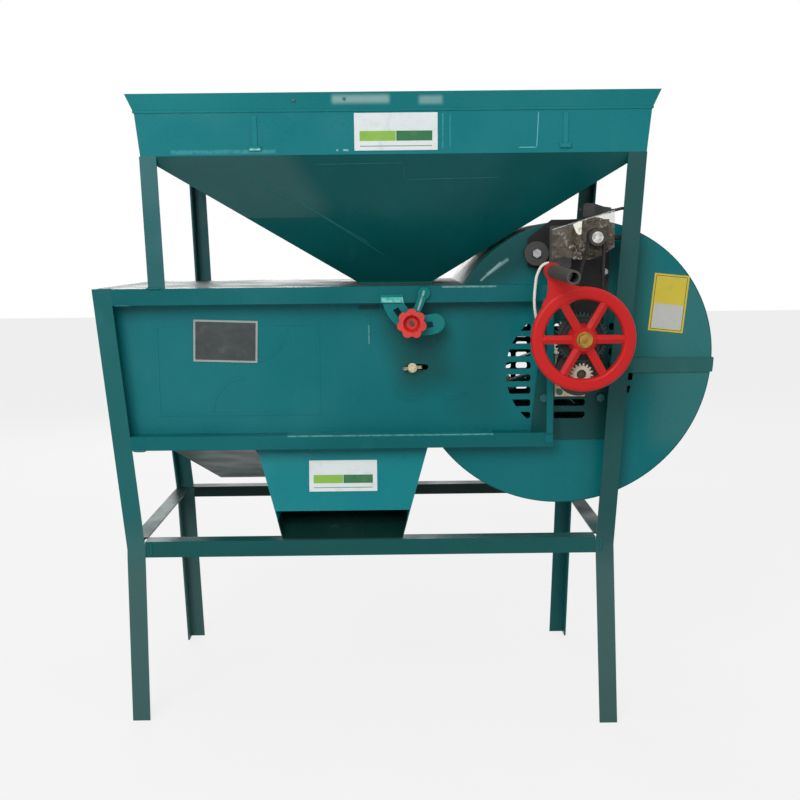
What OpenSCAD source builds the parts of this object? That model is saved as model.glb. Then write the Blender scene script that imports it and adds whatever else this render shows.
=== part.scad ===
// Sheet-metal winnowing machine with hopper, wind tunnel, fan drum, hand crank and motor.
// X runs along the tunnel towards the drum, Y towards the rear, Z up; the feet stand on Z = 0.

/* [Frame] */
// Depth of the frame, front face to rear face
frame_depth = 470; // [430:1:520]
// Width of the legs' angle iron
angle_w = 31; // [26:1:36]
// Thickness of the angle iron
angle_t = 3; // [2:0.5:4]
// Height of the top rails and crossbars
rail_h = 28; // [22:1:32]
// Height of the bottom rails
low_rail_h = 24; // [20:1:28]
// Top of the crossbars above the ground
crossbar_top = 340; // [300:1:380]
// How far the front feet splay out below the crossbars
front_splay = 12; // [0:1:20]
// How far the rear feet turn in below the crossbars
rear_toe = 11; // [0:1:16]
// Angle that the left front leg leans back below the crossbars
front_lean = 6; // [0:1:8]

/* [Tunnel] */
// Height of the tunnel's floor
floor_z = 500; // [460:1:540]
// Height of the tunnel's inside
tunnel_h = 276; // [250:1:300]
// Distance from the middle to the tunnel's open end
tunnel_reach = 527; // [500:1:560]
// Thickness of the sheet metal
sheet_t = 1.5; // [1:0.1:2]

/* [Hopper] */
// Length of the hopper at the bottom of its band
hopper_len = 836; // [780:2:860]
// Height of the funnel between throat and band
funnel_h = 217; // [190:1:240]
// Height of the upright band
band_h = 68; // [50:1:80]
// Height of the flared rim
rim_h = 30; // [20:1:36]
// Width of the throat
throat_w = 134; // [110:2:150]
// Depth of the throat
throat_d = 190; // [150:2:230]

/* [Drum] */
// Radius of the drum's upper arc
drum_r = 230; // [215:1:240]
// How much larger the lower arc's radius is, which opens the scroll
scroll_step = 30; // [20:1:40]
// Height of the fan's axis above the tunnel floor
fan_rise = 134; // [125:1:145]
// Radius to the tips of the fan blades
fan_r = 178; // [150:1:190]

/* [Crank] */
// Outside radius of the crank wheel
wheel_r = 84; // [76:1:92]
// Distance from the crank axle to the grip's pin
grip_throw = 120; // [110:1:125]
// Outside radius of the grip
grip_r = 10.5; // [9:0.5:13]
// Length of the grip
grip_len = 122; // [110:1:125]
// Module of the gears
gear_module = 2; // [1.8:0.1:2]
// Teeth on the crank's gear
gear_teeth = 41; // [39:1:41]
// Teeth on the fan's pinion
pinion_teeth = 17; // [17:1:19]

/* [Fits] */
// Radial clearance of the running fits
run_gap = 0.05; // [0.02:0.01:0.1]
// Gap between parts that move past each other
move_gap = 0.5; // [0.4:0.1:1]

/* [Hidden] */

$fn = 64;

// Frame
half_d = frame_depth / 2;
face_y = -(half_d - angle_w);
inner_half = -face_y - sheet_t;
top_z = floor_z + tunnel_h;
knee_z = crossbar_top - rail_h / 2;
band_z = top_z + funnel_h;
left_knee = tunnel_reach - 40;
right_top = 401;
right_knee = 356;
post_top = 438;
post_foot = 432;
rail_end = 249;
rail_end_w = 11;
plate_x = 213;
plate_end = 345;
post_lean = atan((right_top - right_knee) / (band_z - knee_z));
lean_z = crossbar_top - rail_h;

// Hopper
hop_x = -18;
band_flare = 6;
rim_flare = 12;
band_slope = atan(band_flare / band_h);
label_t = 0.8;
throat_z = top_z + 3;
rim_z = band_z + band_h;
hopper_top = rim_z + rim_h;

// Drum
scroll_z = floor_z + 155;
upper_x = 296;
lower_r = drum_r + scroll_step;
lower_x = upper_x - scroll_step;
seam_z = scroll_z - 20;
seam_h = 25;
seam_t = 3;
bead_t = 0.8;
wrap_top_x = upper_x - sqrt(pow(drum_r, 2) - pow(top_z - scroll_z, 2));
wrap_low_x = lower_x - sqrt(pow(lower_r, 2) - pow(scroll_z - floor_z, 2));
fan_x = 281;
fan_z = floor_z + fan_rise;
shaft_r = 8;
arm_t = 5;
slot_pitch = 21.8;
slot_h = 12;
slot_rows = 8;
grille_z = fan_z - 8;
front_columns = [[-89, 44], [0, 54], [89, 44]];
rear_columns = [[-80, 44], [-35.5, 23], [35.5, 23], [80, 44]];
grille_r = 110;

// Gears, with a little backlash at the pitch circle
mesh_dist = gear_module * (gear_teeth + pinion_teeth) / 2;
crank_z = fan_z + mesh_dist;
gear_gap = 0.5;
axle_r = 7;

// Places along the drive, measured forwards from the front side sheet
plate_a = 3;
bracket_a = 7;
boss_a = 96;
belt_a = 83;
belt_w = 10;
gear_a = 105;
gear_w = 16;
hub_a = 122;
wheel_a = 129;
wheel_w = 14;
wheel_mid = wheel_a + wheel_w / 2;
hub_r = 18;
ear_w = 10;
boss_w = 14;
nut_a = 146.5;
grip_a = 146;
grip_end = grip_a + grip_len;
head_a = grip_end - 40;
pin_r = 5;
head_r = 7.5;
grip_angle = 115;
grip_dip = 3;
grip_veer = 5.5;
grip_lean = acos(cos(grip_dip) * cos(grip_veer));

// Belt drive
pulley_floor = 33.6;
motor_floor = 9.6;
belt_gap = 0.4;
belt_t = 4;
motor_x = 309;
motor_z = fan_z + 219;
motor_r = 33;
motor_a = plate_a + 3;
motor_shaft_r = 4;

// Gate
gate_x = 30;
gate_z = top_z - 12;
lever_len = 54;
lever_rest = 247;
flap_open = 33;
gate_swing = 33;
flap_reach = 120;
gate_rod_r = 5;
lever_front = 6.5;
quadrant_w = 34;
knob_r = 25;

// Baffle
baffle_x = 22;
baffle_z = floor_z + 12;
baffle_r = 124;
baffle_rest = 5.5;
slot_turn = [-9, 5];
stud_r = 4;

// Places along X of the chutes' tops and bottoms
grain_top = [-262, 37];
grain_low = [-218, -10];
light_top = [-406, -264];
light_low = [-397, -280];
chute_lean = 16;

// Leads: each route's points are x, distance ahead and z from the motor's axis
lead_r = 2.5;
lead_a = 24;
gland_x = 53;
gland_route = [
    [53, 24, 0], [59, 24, 0], [65, 24, -0.5], [70, 24, -2.5], [73, 24, -6], [74.5, 24, -11], [74.5, 24, -16]
];
plug_route = [
    [59, 4, -16], [59.5, 4, -6], [61, 4.5, 4], [63.5, 6, 14], [65.5, 9, 23], [66, 13, 32],
    [65, 17.5, 39.5], [61, 21, 45], [54.5, 23, 48], [47, 24, 46.5], [40, 24, 45], [36, 24, 45],
    [31, 24, 45]
];
switch_route = [
    [-71, 45, -41], [-77, 45, -42], [-83, 45, -46], [-88, 45, -54], [-92, 45, -66], [-94, 45, -84],
    [-95, 45, -102], [-94, 44, -118], [-91, 40, -132], [-87, 33, -144], [-82, 26, -154],
    [-76, 21.5, -164], [-70, 20, -172], [-64, 20, -177], [-60, 20, -178], [-56, 20, -178]
];
lead_bore = lead_r + 0.1;
plug_h = 11.7;
plug_z = motor_r + plug_h + 0.3;
connector_x = -52;
connector_z = -184;
hank_run = 100;
hank_fold = 7.75;
hank_turns = 5;
hank_pitch = 5.05;
hank_a = 4;
hank_z = motor_z - 14;
hank_x = right_x(hank_z) - angle_t - 11.75;

// The machine stands with the middle of its box over the origin
rear_reach = half_d + band_flare + rim_flare;
front_reach = -face_y + wheel_mid + (grip_end - wheel_mid) * cos(grip_lean) + grip_r * sin(grip_lean);
right_reach = lower_x + lower_r + seam_t;
shift = [(tunnel_reach - right_reach) / 2, (front_reach - rear_reach) / 2, 0];

paint = [0.05, 0.42, 0.44];
zinc = [0.75, 0.68, 0.50];
steel = [0.62, 0.63, 0.65];
black = [0.09, 0.09, 0.10];
red = [0.75, 0.09, 0.08];

// Moves what it holds from the working frame to the machine's frame
module place() {
    translate(shift) children();
}

// Front-view outline made solid between two depths
module slab(y0, y1) {
    translate([0, y1, 0]) rotate([90, 0, 0]) linear_extrude(y1 - y0) children();
}

// Side-view outline made solid between two places along X
module bar(x0, x1) {
    translate([x0, 0, 0]) rotate([90, 0, 90]) linear_extrude(x1 - x0) children();
}

// Axis that points forwards from a place on the front side sheet
module ahead(x, z, a) {
    translate([x, face_y - a, z]) rotate([90, 0, 0]) children();
}

module rod(x, z, a0, a1, r) {
    ahead(x, z, a0) cylinder(h = a1 - a0, r = r);
}

module tube(x, z, a0, a1, r, bore) {
    difference() {
        rod(x, z, a0, a1, r);
        rod(x, z, a0 - 1, a1 + 1, bore);
    }
}

module hexagon(x, z, a0, a1, flats) {
    ahead(x, z, a0) rotate([0, 0, 30]) cylinder(h = a1 - a0, r = flats / sqrt(3), $fn = 6);
}

module rounded(w, h, r) {
    square([w - 2 * r, h], center = true);
    square([w, h - 2 * r], center = true);
    for (x = [-1, 1], y = [-1, 1])
        translate([x * (w / 2 - r), y * (h / 2 - r)]) circle(r);
}

// Legs and rails

function left_x(z) = -(left_knee + (tunnel_reach - left_knee) * (z - knee_z) / (top_z - knee_z));
function right_x(z) = right_knee + (right_top - right_knee) * (z - knee_z) / (band_z - knee_z);

// Outline of a strip whose outer edge runs through some places
module strip(xs, zs, w) {
    last = len(xs) - 1;
    polygon(concat(
        [for (i = [0 : last]) [xs[i], zs[i]]],
        [for (i = [last : -1 : 0]) [xs[i] + w, zs[i]]]
    ));
}

module angle_leg(xs, zs, w, side) {
    slab(-half_d, -half_d + angle_t) strip(xs, zs, side * w);
    slab(-half_d + angle_t, face_y) strip(xs, zs, side * angle_t);
}

module left_leg(toe) {
    angle_leg([left_x(top_z), left_x(knee_z), left_x(knee_z) - toe], [top_z, knee_z, 0], angle_w, 1);
}

module right_leg(toe) {
    difference() {
        angle_leg([right_x(band_z), right_x(knee_z), right_x(knee_z) + toe],
            [band_z, knee_z, 0], angle_w, -1);
        hopper_block(0);
    }
}

// The left front leg leans back a little below the crossbars
module leg_front_left() {
    foot_x = left_x(knee_z) - front_splay;
    lean_x = left_x(knee_z) - front_splay * (knee_z - lean_z) / knee_z;
    color(paint) place() {
        angle_leg([left_x(top_z), left_x(knee_z), lean_x], [top_z, knee_z, lean_z], angle_w, 1);
        intersection() {
            translate([0, -half_d, lean_z]) rotate([front_lean, 0, 0]) translate([0, half_d, -lean_z])
                angle_leg([lean_x, foot_x - 1], [lean_z, -20], angle_w, 1);
            translate([-tunnel_reach - 50, -half_d - 50, 0]) cube([200, 300, lean_z + 10]);
        }
    }
}

module leg_front_right() {
    color(paint) place() right_leg(front_splay);
}

module leg_rear_left() {
    color(paint) place() mirror([0, 1, 0]) left_leg(-rear_toe);
}

module leg_rear_right() {
    color(paint) place() mirror([0, 1, 0]) right_leg(-rear_toe);
}

module hopper_post() {
    mid_z = (band_z + top_z) / 2;
    mid_x = -(post_top + post_foot) / 2;
    difference() {
        angle_leg([-post_top, mid_x, -post_foot], [band_z, mid_z, top_z], rail_h, 1);
        hopper_block(0);
    }
}

module hopper_posts() {
    color(paint) place() for (side = [0, 1]) mirror([0, side, 0]) hopper_post();
}

// Rail with a front flange from leg to end and a level flange behind it
module rail(z0, z1, end_x, level_z, level_end) {
    slab(-half_d, -half_d + angle_t) polygon([
        [left_x(z0) + angle_w, z0], [left_x(z1) + angle_w, z1], [end_x, z1], [end_x, z0]
    ]);
    slab(-half_d + angle_t, face_y) polygon([
        [left_x(level_z) + angle_w, level_z], [left_x(level_z + angle_t) + angle_w, level_z + angle_t],
        [level_end, level_z + angle_t], [level_end, level_z]
    ]);
}

module top_rails() {
    color(paint) place() {
        difference() {
            rail(top_z - rail_h, top_z, rail_end, top_z - angle_t, rail_end - rail_end_w - 1);
            rod(gate_x, gate_z, 0, 50, gate_rod_r + 1);
        }
        mirror([0, 1, 0]) rail(top_z - rail_h, top_z, wrap_top_x, top_z - angle_t, wrap_top_x);
    }
}

module bottom_rails() {
    level_z = floor_z + low_rail_h - angle_t;
    color(paint) place() {
        rail(floor_z, floor_z + low_rail_h, rail_end, level_z, plate_x - 5);
        mirror([0, 1, 0]) rail(floor_z, floor_z + low_rail_h, wrap_low_x, level_z, wrap_low_x);
    }
}

module long_crossbar() {
    z0 = crossbar_top - rail_h;
    z1 = crossbar_top - angle_t;
    slab(-half_d, -half_d + angle_t) polygon([
        [-left_knee + angle_w, z0], [-left_knee + angle_w, crossbar_top],
        [right_knee - angle_w, crossbar_top], [right_knee - angle_w, z0]
    ]);
    slab(-half_d + angle_t, face_y) polygon([
        [-left_knee + angle_w, z1], [-left_knee + angle_w, crossbar_top],
        [right_knee - angle_w, crossbar_top], [right_knee - angle_w, z1]
    ]);
}

module side_crossbar(x, side) {
    z0 = crossbar_top - rail_h;
    translate([x + (side < 0 ? -angle_t : 0), face_y, z0]) cube([angle_t, -2 * face_y, rail_h]);
    translate([x + (side < 0 ? -rail_h : angle_t), face_y, crossbar_top - angle_t])
        cube([rail_h - angle_t, -2 * face_y, angle_t]);
}

module crossbars() {
    color(paint) place() {
        for (side = [0, 1]) mirror([0, side, 0]) long_crossbar();
        side_crossbar(-left_knee + 1, 1);
        side_crossbar(right_knee - 1, -1);
    }
}

// Two small angles that stiffen the open end, under the top sheet and under the floor
module outlet_bars() {
    w = 20;
    top_x = left_x(top_z - w) + 3;
    low_x = left_x(floor_z) + 3;
    color(paint) place() {
        translate([top_x, -inner_half, top_z - sheet_t - 2]) cube([w, 2 * inner_half, 2]);
        translate([top_x, -inner_half, top_z - sheet_t - w]) cube([2, 2 * inner_half, w]);
        translate([low_x, face_y, floor_z - 2]) cube([w, -2 * face_y, 2]);
        translate([low_x, face_y, floor_z - w]) cube([2, -2 * face_y, w]);
    }
}

// Upright strip that closes the tunnel's frame, with its small corner plate
module rail_end_bar() {
    color(paint) place() {
        slab(-half_d, -half_d + angle_t) translate([rail_end - rail_end_w, floor_z + low_rail_h])
            square([rail_end_w, tunnel_h - low_rail_h - rail_h]);
        slab(-half_d - 2, -half_d) translate([rail_end - 14, floor_z + 7]) square([14, 14]);
    }
}

// Hopper: each block is where a front-view outline and a side-view outline both have material

module hopper_outline(throat, band, inset) {
    polygon([
        [-throat + inset, throat_z - 4], [-throat + inset, throat_z], [-band + inset, band_z],
        [-band + inset, band_z + 1], [band - inset, band_z + 1], [band - inset, band_z],
        [throat - inset, throat_z], [throat - inset, throat_z - 4]
    ]);
}

// The funnel as a solid block, drawn in by an inset on each side
module hopper_block(inset) {
    intersection() {
        slab(-half_d - 1, half_d + 1) translate([hop_x, 0])
            hopper_outline(throat_w / 2, hopper_len / 2, inset * 1.2);
        bar(-600, 600) hopper_outline(throat_d / 2, half_d, inset);
    }
}

module hopper_funnel() {
    color(paint) place() difference() {
        hopper_block(0);
        hopper_block(sheet_t);
        translate([-600, -400, band_z]) cube([1200, 800, 10]);
        translate([-600, -400, top_z - 10]) cube([1200, 800, 10]);
    }
}

// Four-sided collar between two heights, with its own half sizes at each
module collar(z0, z1, grow0, grow1, t) {
    module outline(half, extra) {
        polygon([
            [-half - grow0 - extra, z0], [-half - grow1 - extra, z1],
            [half + grow1 + extra, z1], [half + grow0 + extra, z0]
        ]);
    }
    module block(extra) {
        intersection() {
            slab(-400, 400) translate([hop_x, 0]) outline(hopper_len / 2, extra);
            bar(-700, 700) outline(half_d, extra);
        }
    }
    difference() {
        block(0);
        block(-t);
        translate([-700, -500, z1]) cube([1400, 1000, 1]);
    }
}

module hopper_band() {
    color(paint) place() collar(band_z, rim_z, 0, band_flare, sheet_t);
}

module hopper_rim() {
    color(paint) place() collar(rim_z, hopper_top, band_flare, band_flare + rim_flare, 2 * sheet_t);
}

// Moves what it holds onto the band's sloping front, at a place along X and a height up the band
module on_band(x, up) {
    translate([x, -half_d, band_z]) rotate([band_slope, 0, 0]) translate([0, 0, up]) children();
}

// Two folded clips on the band's front, each with a small foot
module hopper_clips() {
    color(paint) place() for (x = [-246, 265]) on_band(x, 8) {
        translate([-4, -2, 0]) cube([8, 2, band_h - 12]);
        translate([-9, -4, 0]) cube([18, 4, 7]);
    }
}

// Tunnel and drum

// Outline of the drum's side, drawn in by an inset
module drum_outline(inset) {
    intersection() {
        translate([upper_x, scroll_z]) circle(drum_r - inset, $fn = 160);
        translate([0, scroll_z]) square([900, 400]);
    }
    intersection() {
        translate([lower_x, scroll_z]) circle(lower_r - inset, $fn = 160);
        translate([0, scroll_z - 400]) square([900, 400]);
    }
}

// Slots of the air intake in columns, each a place and a width; a middle one leaves the bearing its place
module intake_slots(columns) {
    intersection() {
        translate([fan_x, grille_z]) circle(grille_r);
        for (row = [0 : slot_rows - 1], column = columns)
            if (column[0] != 0 || row < 2 || row > 5)
                translate([fan_x + column[0], grille_z + (row - (slot_rows - 1) / 2) * slot_pitch])
                    rounded(column[1], slot_h, 4);
    }
}

module side_sheet(columns) {
    difference() {
        union() {
            slab(face_y, face_y + sheet_t) drum_outline(sheet_t);
            slab(face_y, face_y + sheet_t) polygon([
                [left_x(floor_z), floor_z], [left_x(top_z), top_z], [lower_x, top_z], [lower_x, floor_z]
            ]);
        }
        slab(face_y - 1, face_y + sheet_t + 1) {
            intake_slots(columns);
            translate([fan_x, fan_z]) circle(shaft_r + 2);
            translate([baffle_x, baffle_z]) circle(stud_r + run_gap);
            translate([gate_x, gate_z]) circle(gate_rod_r + run_gap);
        }
    }
}

// Curved slot that the baffle's stud moves in
module baffle_slot() {
    w = 2 * stud_r + 1.6;
    translate([baffle_x, baffle_z]) {
        intersection() {
            difference() {
                circle(baffle_r + w / 2);
                circle(baffle_r - w / 2);
            }
            polygon([[0, 0], for (turn = slot_turn) 200 * [sin(turn), cos(turn)]]);
        }
        for (turn = slot_turn) translate(baffle_r * [sin(turn), cos(turn)]) circle(w / 2);
    }
}

// Pressed beads that stiffen the front sheet
module beads() {
    w = 5;
    intersection() {
        union() {
            translate([-290, floor_z + 135]) difference() {
                square([282, 160], center = true);
                square([282 - 2 * w, 160 - 2 * w], center = true);
            }
            translate([-265, floor_z + 206]) intersection() {
                ring(60, w);
                translate([0, -60]) square([60, 60]);
            }
            translate([-278, floor_z + 63]) intersection() {
                ring(60, w);
                translate([-60, 0]) square([60, 60]);
            }
            for (x = [5, 78])
                translate([x, floor_z + 118]) intersection() {
                    ring(40, w);
                    translate([-25, -40]) square([50, 20]);
                }
            translate([-66, floor_z + 165]) square([w, 60]);
        }
        translate([-440, floor_z + 30]) square([560, tunnel_h - 60]);
    }
}

module ring(r, w) {
    difference() {
        circle(r);
        circle(r - w);
    }
}

module side_sheet_front() {
    color(paint) place() {
        difference() {
            side_sheet(front_columns);
            slab(face_y - 1, face_y + 5) baffle_slot();
        }
        slab(face_y - bead_t, face_y) beads();
    }
}

module side_sheet_rear() {
    color(paint) place() mirror([0, 1, 0]) side_sheet(rear_columns);
}

module tunnel_top() {
    hole_left = hop_x - throat_w / 2 + sheet_t;
    color(paint) place() difference() {
        slab(-inner_half, inner_half) polygon([
            [left_x(top_z - sheet_t), top_z - sheet_t], [left_x(top_z), top_z],
            [wrap_top_x + 4, top_z], [wrap_top_x + 4, top_z - sheet_t]
        ]);
        translate([hole_left, -throat_d / 2 + sheet_t, top_z - 5])
            cube([gate_x - 5 - hole_left, throat_d - 2 * sheet_t, 10]);
    }
}

module tunnel_floor() {
    color(paint) place() difference() {
        slab(-inner_half, inner_half) polygon([
            [left_x(floor_z), floor_z], [left_x(floor_z + sheet_t), floor_z + sheet_t],
            [wrap_low_x + 4, floor_z + sheet_t], [wrap_low_x + 4, floor_z]
        ]);
        for (top = [grain_top, light_top])
            translate([top[0] + sheet_t, -inner_half, floor_z - 5])
                cube([top[1] - top[0] - 2 * sheet_t, 2 * inner_half, 10]);
    }
}

module wrap_outline() {
    difference() {
        drum_outline(0);
        drum_outline(sheet_t);
    }
}

module drum_wrap_upper() {
    color(paint) place() slab(face_y, -face_y) intersection() {
        wrap_outline();
        union() {
            translate([0, top_z]) square([upper_x, 300]);
            translate([upper_x, seam_z]) square([400, 500]);
        }
    }
}

module drum_wrap_lower() {
    color(paint) place() slab(face_y, -face_y) intersection() {
        wrap_outline();
        union() {
            translate([0, floor_z - 300]) square([lower_x, 300]);
            translate([lower_x, seam_z - 400]) square([400, 400]);
        }
    }
}

// Strap over the joint of the drum's halves: round the wrap and along both sides
module drum_seam_strap() {
    color(paint) place() {
        slab(face_y - seam_t, -face_y + seam_t) intersection() {
            difference() {
                drum_outline(-seam_t);
                drum_outline(0);
            }
            translate([lower_x, seam_z - seam_h / 2]) square([400, seam_h]);
        }
        difference() {
            for (side = [0, 1])
                mirror([0, side, 0]) slab(face_y - seam_t, face_y) intersection() {
                    drum_outline(0);
                    translate([upper_x + 54, seam_z - seam_h / 2]) square([300, seam_h]);
                }
            right_leg(0);
            mirror([0, 1, 0]) right_leg(0);
        }
    }
}

// Plate that spreads the load of the drive over the drum's side
module mounting_plate() {
    color(paint) place() slab(face_y - plate_a, face_y) difference() {
        polygon([
            [plate_x, floor_z + 7], [plate_end, floor_z + 7],
            [plate_end, top_z + 35], [plate_x + 32, top_z + 35]
        ]);
        intake_slots([front_columns[1]]);
        translate([fan_x, fan_z]) circle(shaft_r + 2);
    }
}

// Chutes: each is a block with its hollow taken out, and the mouth left open

module chute_front_view(top, low, low_z, inset) {
    polygon([
        [top[0] + inset, floor_z], [top[1] - inset, floor_z],
        [low[1] - inset, low_z - 1], [low[0] + inset, low_z - 1]
    ]);
}

// Side view of a chute whose mouth is at the low end
module chute_side_view(low_z, lip_z, lip_y, mouth_y) {
    polygon([
        [face_y, floor_z], [-face_y, floor_z], [-face_y, floor_z - 6],
        [mouth_y, low_z], [lip_y, lip_z]
    ]);
}

module chute(top, low, low_z, lip_z) {
    lip_y = face_y - chute_lean;
    mouth_y = lip_y - 11;
    difference() {
        intersection() {
            slab(-300, 300) chute_front_view(top, low, low_z, 0);
            bar(-600, 600) chute_side_view(low_z, lip_z, lip_y, mouth_y);
        }
        intersection() {
            slab(-300, 300) chute_front_view(top, low, low_z, sheet_t);
            bar(-600, 600) polygon([
                [face_y + sheet_t, floor_z + 1], [-face_y - sheet_t, floor_z + 1],
                [-face_y - sheet_t, floor_z - 6 + sheet_t], [mouth_y, low_z + sheet_t],
                [mouth_y - 20, low_z + sheet_t - 7], [mouth_y - 20, lip_z], [lip_y + sheet_t, lip_z]
            ]);
        }
    }
}

module grain_chute() {
    color(paint) place() chute(grain_top, grain_low, crossbar_top, crossbar_top + 48);
}

module light_chute() {
    color(paint) place() mirror([0, 1, 0])
        chute(light_top, light_low, crossbar_top + 14, crossbar_top + 58);
}

// Bare white plates on the band and on the chute
module label_blanks() {
    color("white") place() {
        on_band(-14, 36) rotate([90, 0, 0]) linear_extrude(label_t) square([137, 60], center = true);
        translate([-112, face_y - chute_lean * 52 / 111, floor_z - 52])
            rotate([90 - atan(chute_lean / 111), 0, 0]) translate([0, 0, 0.05])
                linear_extrude(label_t) square([118, 54], center = true);
    }
}

// Bare dark plate on the tunnel's front
module rating_plate_blank() {
    color(black) place() ahead(-310, top_z - 92, bead_t) rotate([0, 0, -2])
        linear_extrude(1) square([110, 72], center = true);
}

module warning_sticker_blank() {
    color("gold") place() ahead(450, top_z - 35, 0) rotate([0, 0, -6])
        linear_extrude(0.6) square([60, 98], center = true);
}

// Feed gate

// Sector of a ring between two angles
module sector(r, w, from, to) {
    far = r + w;
    intersection() {
        difference() {
            circle(r + w / 2);
            circle(r - w / 2);
        }
        polygon([
            [0, 0], [far * cos(from), far * sin(from)],
            [1.4 * far * cos((from + to) / 2), 1.4 * far * sin((from + to) / 2)],
            [far * cos(to), far * sin(to)]
        ]);
    }
}

module gate_flap() {
    color(paint) place() translate([gate_x, 0, gate_z]) rotate([0, -flap_open, 0]) {
        difference() {
            translate([-flap_reach, -throat_d / 2 - 2, 4]) cube([flap_reach + 8, throat_d + 4, 2]);
            rotate([90, 0, 0]) cylinder(h = 600, r = gate_rod_r, center = true);
        }
    }
}

// Rod through the tunnel with its lever plate in front
module gate_lever() {
    color(paint) place() {
        translate([gate_x, inner_half + 8, gate_z]) rotate([90, 0, 0])
            cylinder(h = inner_half + half_d + lever_front + 10, r = gate_rod_r);
        slab(-half_d - lever_front, -half_d - lever_front + angle_t) difference() {
            union() {
                translate([gate_x, gate_z]) circle(10);
                translate([gate_x, gate_z]) rotate(lever_rest) {
                    polygon([[0, -7], [lever_len, -6], [lever_len, 6], [0, 7]]);
                    translate([lever_len, 0]) circle(9);
                }
            }
            translate([gate_x, gate_z]) circle(gate_rod_r);
            translate([gate_x, gate_z] + polar(lever_len, lever_rest)) circle(stud_r + run_gap);
        }
    }
}

// Plate with the curved slot that the lever is clamped to; its left end is welded to the rail
module gate_quadrant() {
    end = lever_rest + gate_swing + 10;
    color(paint) place() {
        slab(-half_d - angle_t, -half_d) difference() {
            translate([gate_x, gate_z]) {
                sector(lever_len, quadrant_w, 192, end);
                translate(polar(lever_len, end)) circle(quadrant_w / 2 - 0.8);
                translate([-lever_len - 19, -16]) square([38, 14]);
            }
            translate([gate_x, gate_z])
                sector(lever_len, 10, lever_rest - gate_swing - 6, lever_rest + gate_swing + 6);
        }
        slab(-half_d - angle_t - 4, -half_d - angle_t)
            translate([gate_x - lever_len - 19, gate_z - 15]) square([34, 7]);
    }
}

// Moves what it holds to the place of the gate's knob, with the axis pointing forwards
module knob_place(out) {
    end = [gate_x, gate_z] + polar(lever_len, lever_rest);
    translate([end[0], -half_d - out, end[1]]) rotate([90, 0, 0]) children();
}

// Lobed hand knob with a dished front
module gate_knob() {
    color(red) place() knob_place(lever_front + move_gap) difference() {
        union() {
            cylinder(h = 6, r = 12);
            translate([0, 0, 5]) linear_extrude(15) {
                circle(knob_r - 4);
                for (k = [0 : 6]) rotate(k * 360 / 7 + 90) translate([knob_r - 8, 0]) circle(8);
            }
        }
        translate([0, 0, 9]) cylinder(h = 12, r1 = 9, r2 = 15);
        translate([0, 0, -1]) cylinder(h = 30, r = stud_r + run_gap);
    }
}

// Stud of the knob: round head behind the quadrant, thread through lever and knob
module gate_stud() {
    color(steel) place() {
        knob_place(-4.5) cylinder(h = 4, r = 8);
        knob_place(-1) cylinder(h = lever_front + 14, r = stud_r);
    }
}

// Baffle board with its rod, and the stud whose wing nut clamps it

module baffle_board() {
    color(paint) place() translate([baffle_x, 0, baffle_z]) rotate([0, -baffle_rest, 0]) difference() {
        union() {
            rotate([90, 0, 0]) cylinder(h = -2 * face_y + 12, r = stud_r, center = true);
            translate([-1, -inner_half + 2, 0]) cube([2, 2 * inner_half - 4, 140]);
            translate([0, -150, baffle_r]) rotate([90, 0, 0]) cylinder(h = 40, r = 7);
        }
        translate([0, -149, baffle_r]) rotate([90, 0, 0]) cylinder(h = 60, r = stud_r);
    }
}

module baffle_stud_nut() {
    color(zinc) place() translate([baffle_x, 0, baffle_z]) rotate([0, -baffle_rest, 0])
        translate([0, -149, baffle_r]) rotate([90, 0, 0]) {
            reach = -face_y - 149;
            cylinder(h = reach + 15, r = stud_r);
            translate([0, 0, reach + move_gap]) cylinder(h = 8, r = 8);
            translate([0, 0, reach + move_gap + 3]) rotate([90, 0, 0]) linear_extrude(5, center = true)
                polygon([[-15, 12], [-17, 4], [-7, 0], [7, 0], [17, 4], [15, 12], [7, 6], [-7, 6]]);
        }
}

// Crank

module crank_bracket() {
    color(zinc) place() slab(face_y - bracket_a, face_y - plate_a) difference() {
        translate([fan_x, fan_z]) polygon([
            [-26, -51], [26, -51], [26, 20], [18, mesh_dist + 20], [-18, mesh_dist + 20], [-26, 20]
        ]);
        translate([fan_x, fan_z]) circle(10);
        translate([fan_x, crank_z]) circle(axle_r);
    }
}

module crank_axle() {
    color(steel) place() {
        rod(fan_x, crank_z, plate_a, nut_a + 7, axle_r);
        tube(fan_x, crank_z, bracket_a, boss_a + 0.5, 14, axle_r);
    }
}

module crank_nut() {
    color("goldenrod") place() difference() {
        union() {
            rod(fan_x, crank_z, nut_a, nut_a + 2, 13);
            hexagon(fan_x, crank_z, nut_a + 2, nut_a + 11, 19);
        }
        rod(fan_x, crank_z, nut_a - 1, nut_a + 7, axle_r);
    }
}

// Moves what it holds onto the axis of the grip, which leans a little in towards the wheel
module pin_place(a) {
    ahead(fan_x, crank_z, wheel_mid) translate(concat(polar(grip_throw, grip_angle), [0]))
        rotate([grip_dip, grip_veer, 0]) translate([0, 0, a - wheel_mid]) children();
}

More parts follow.
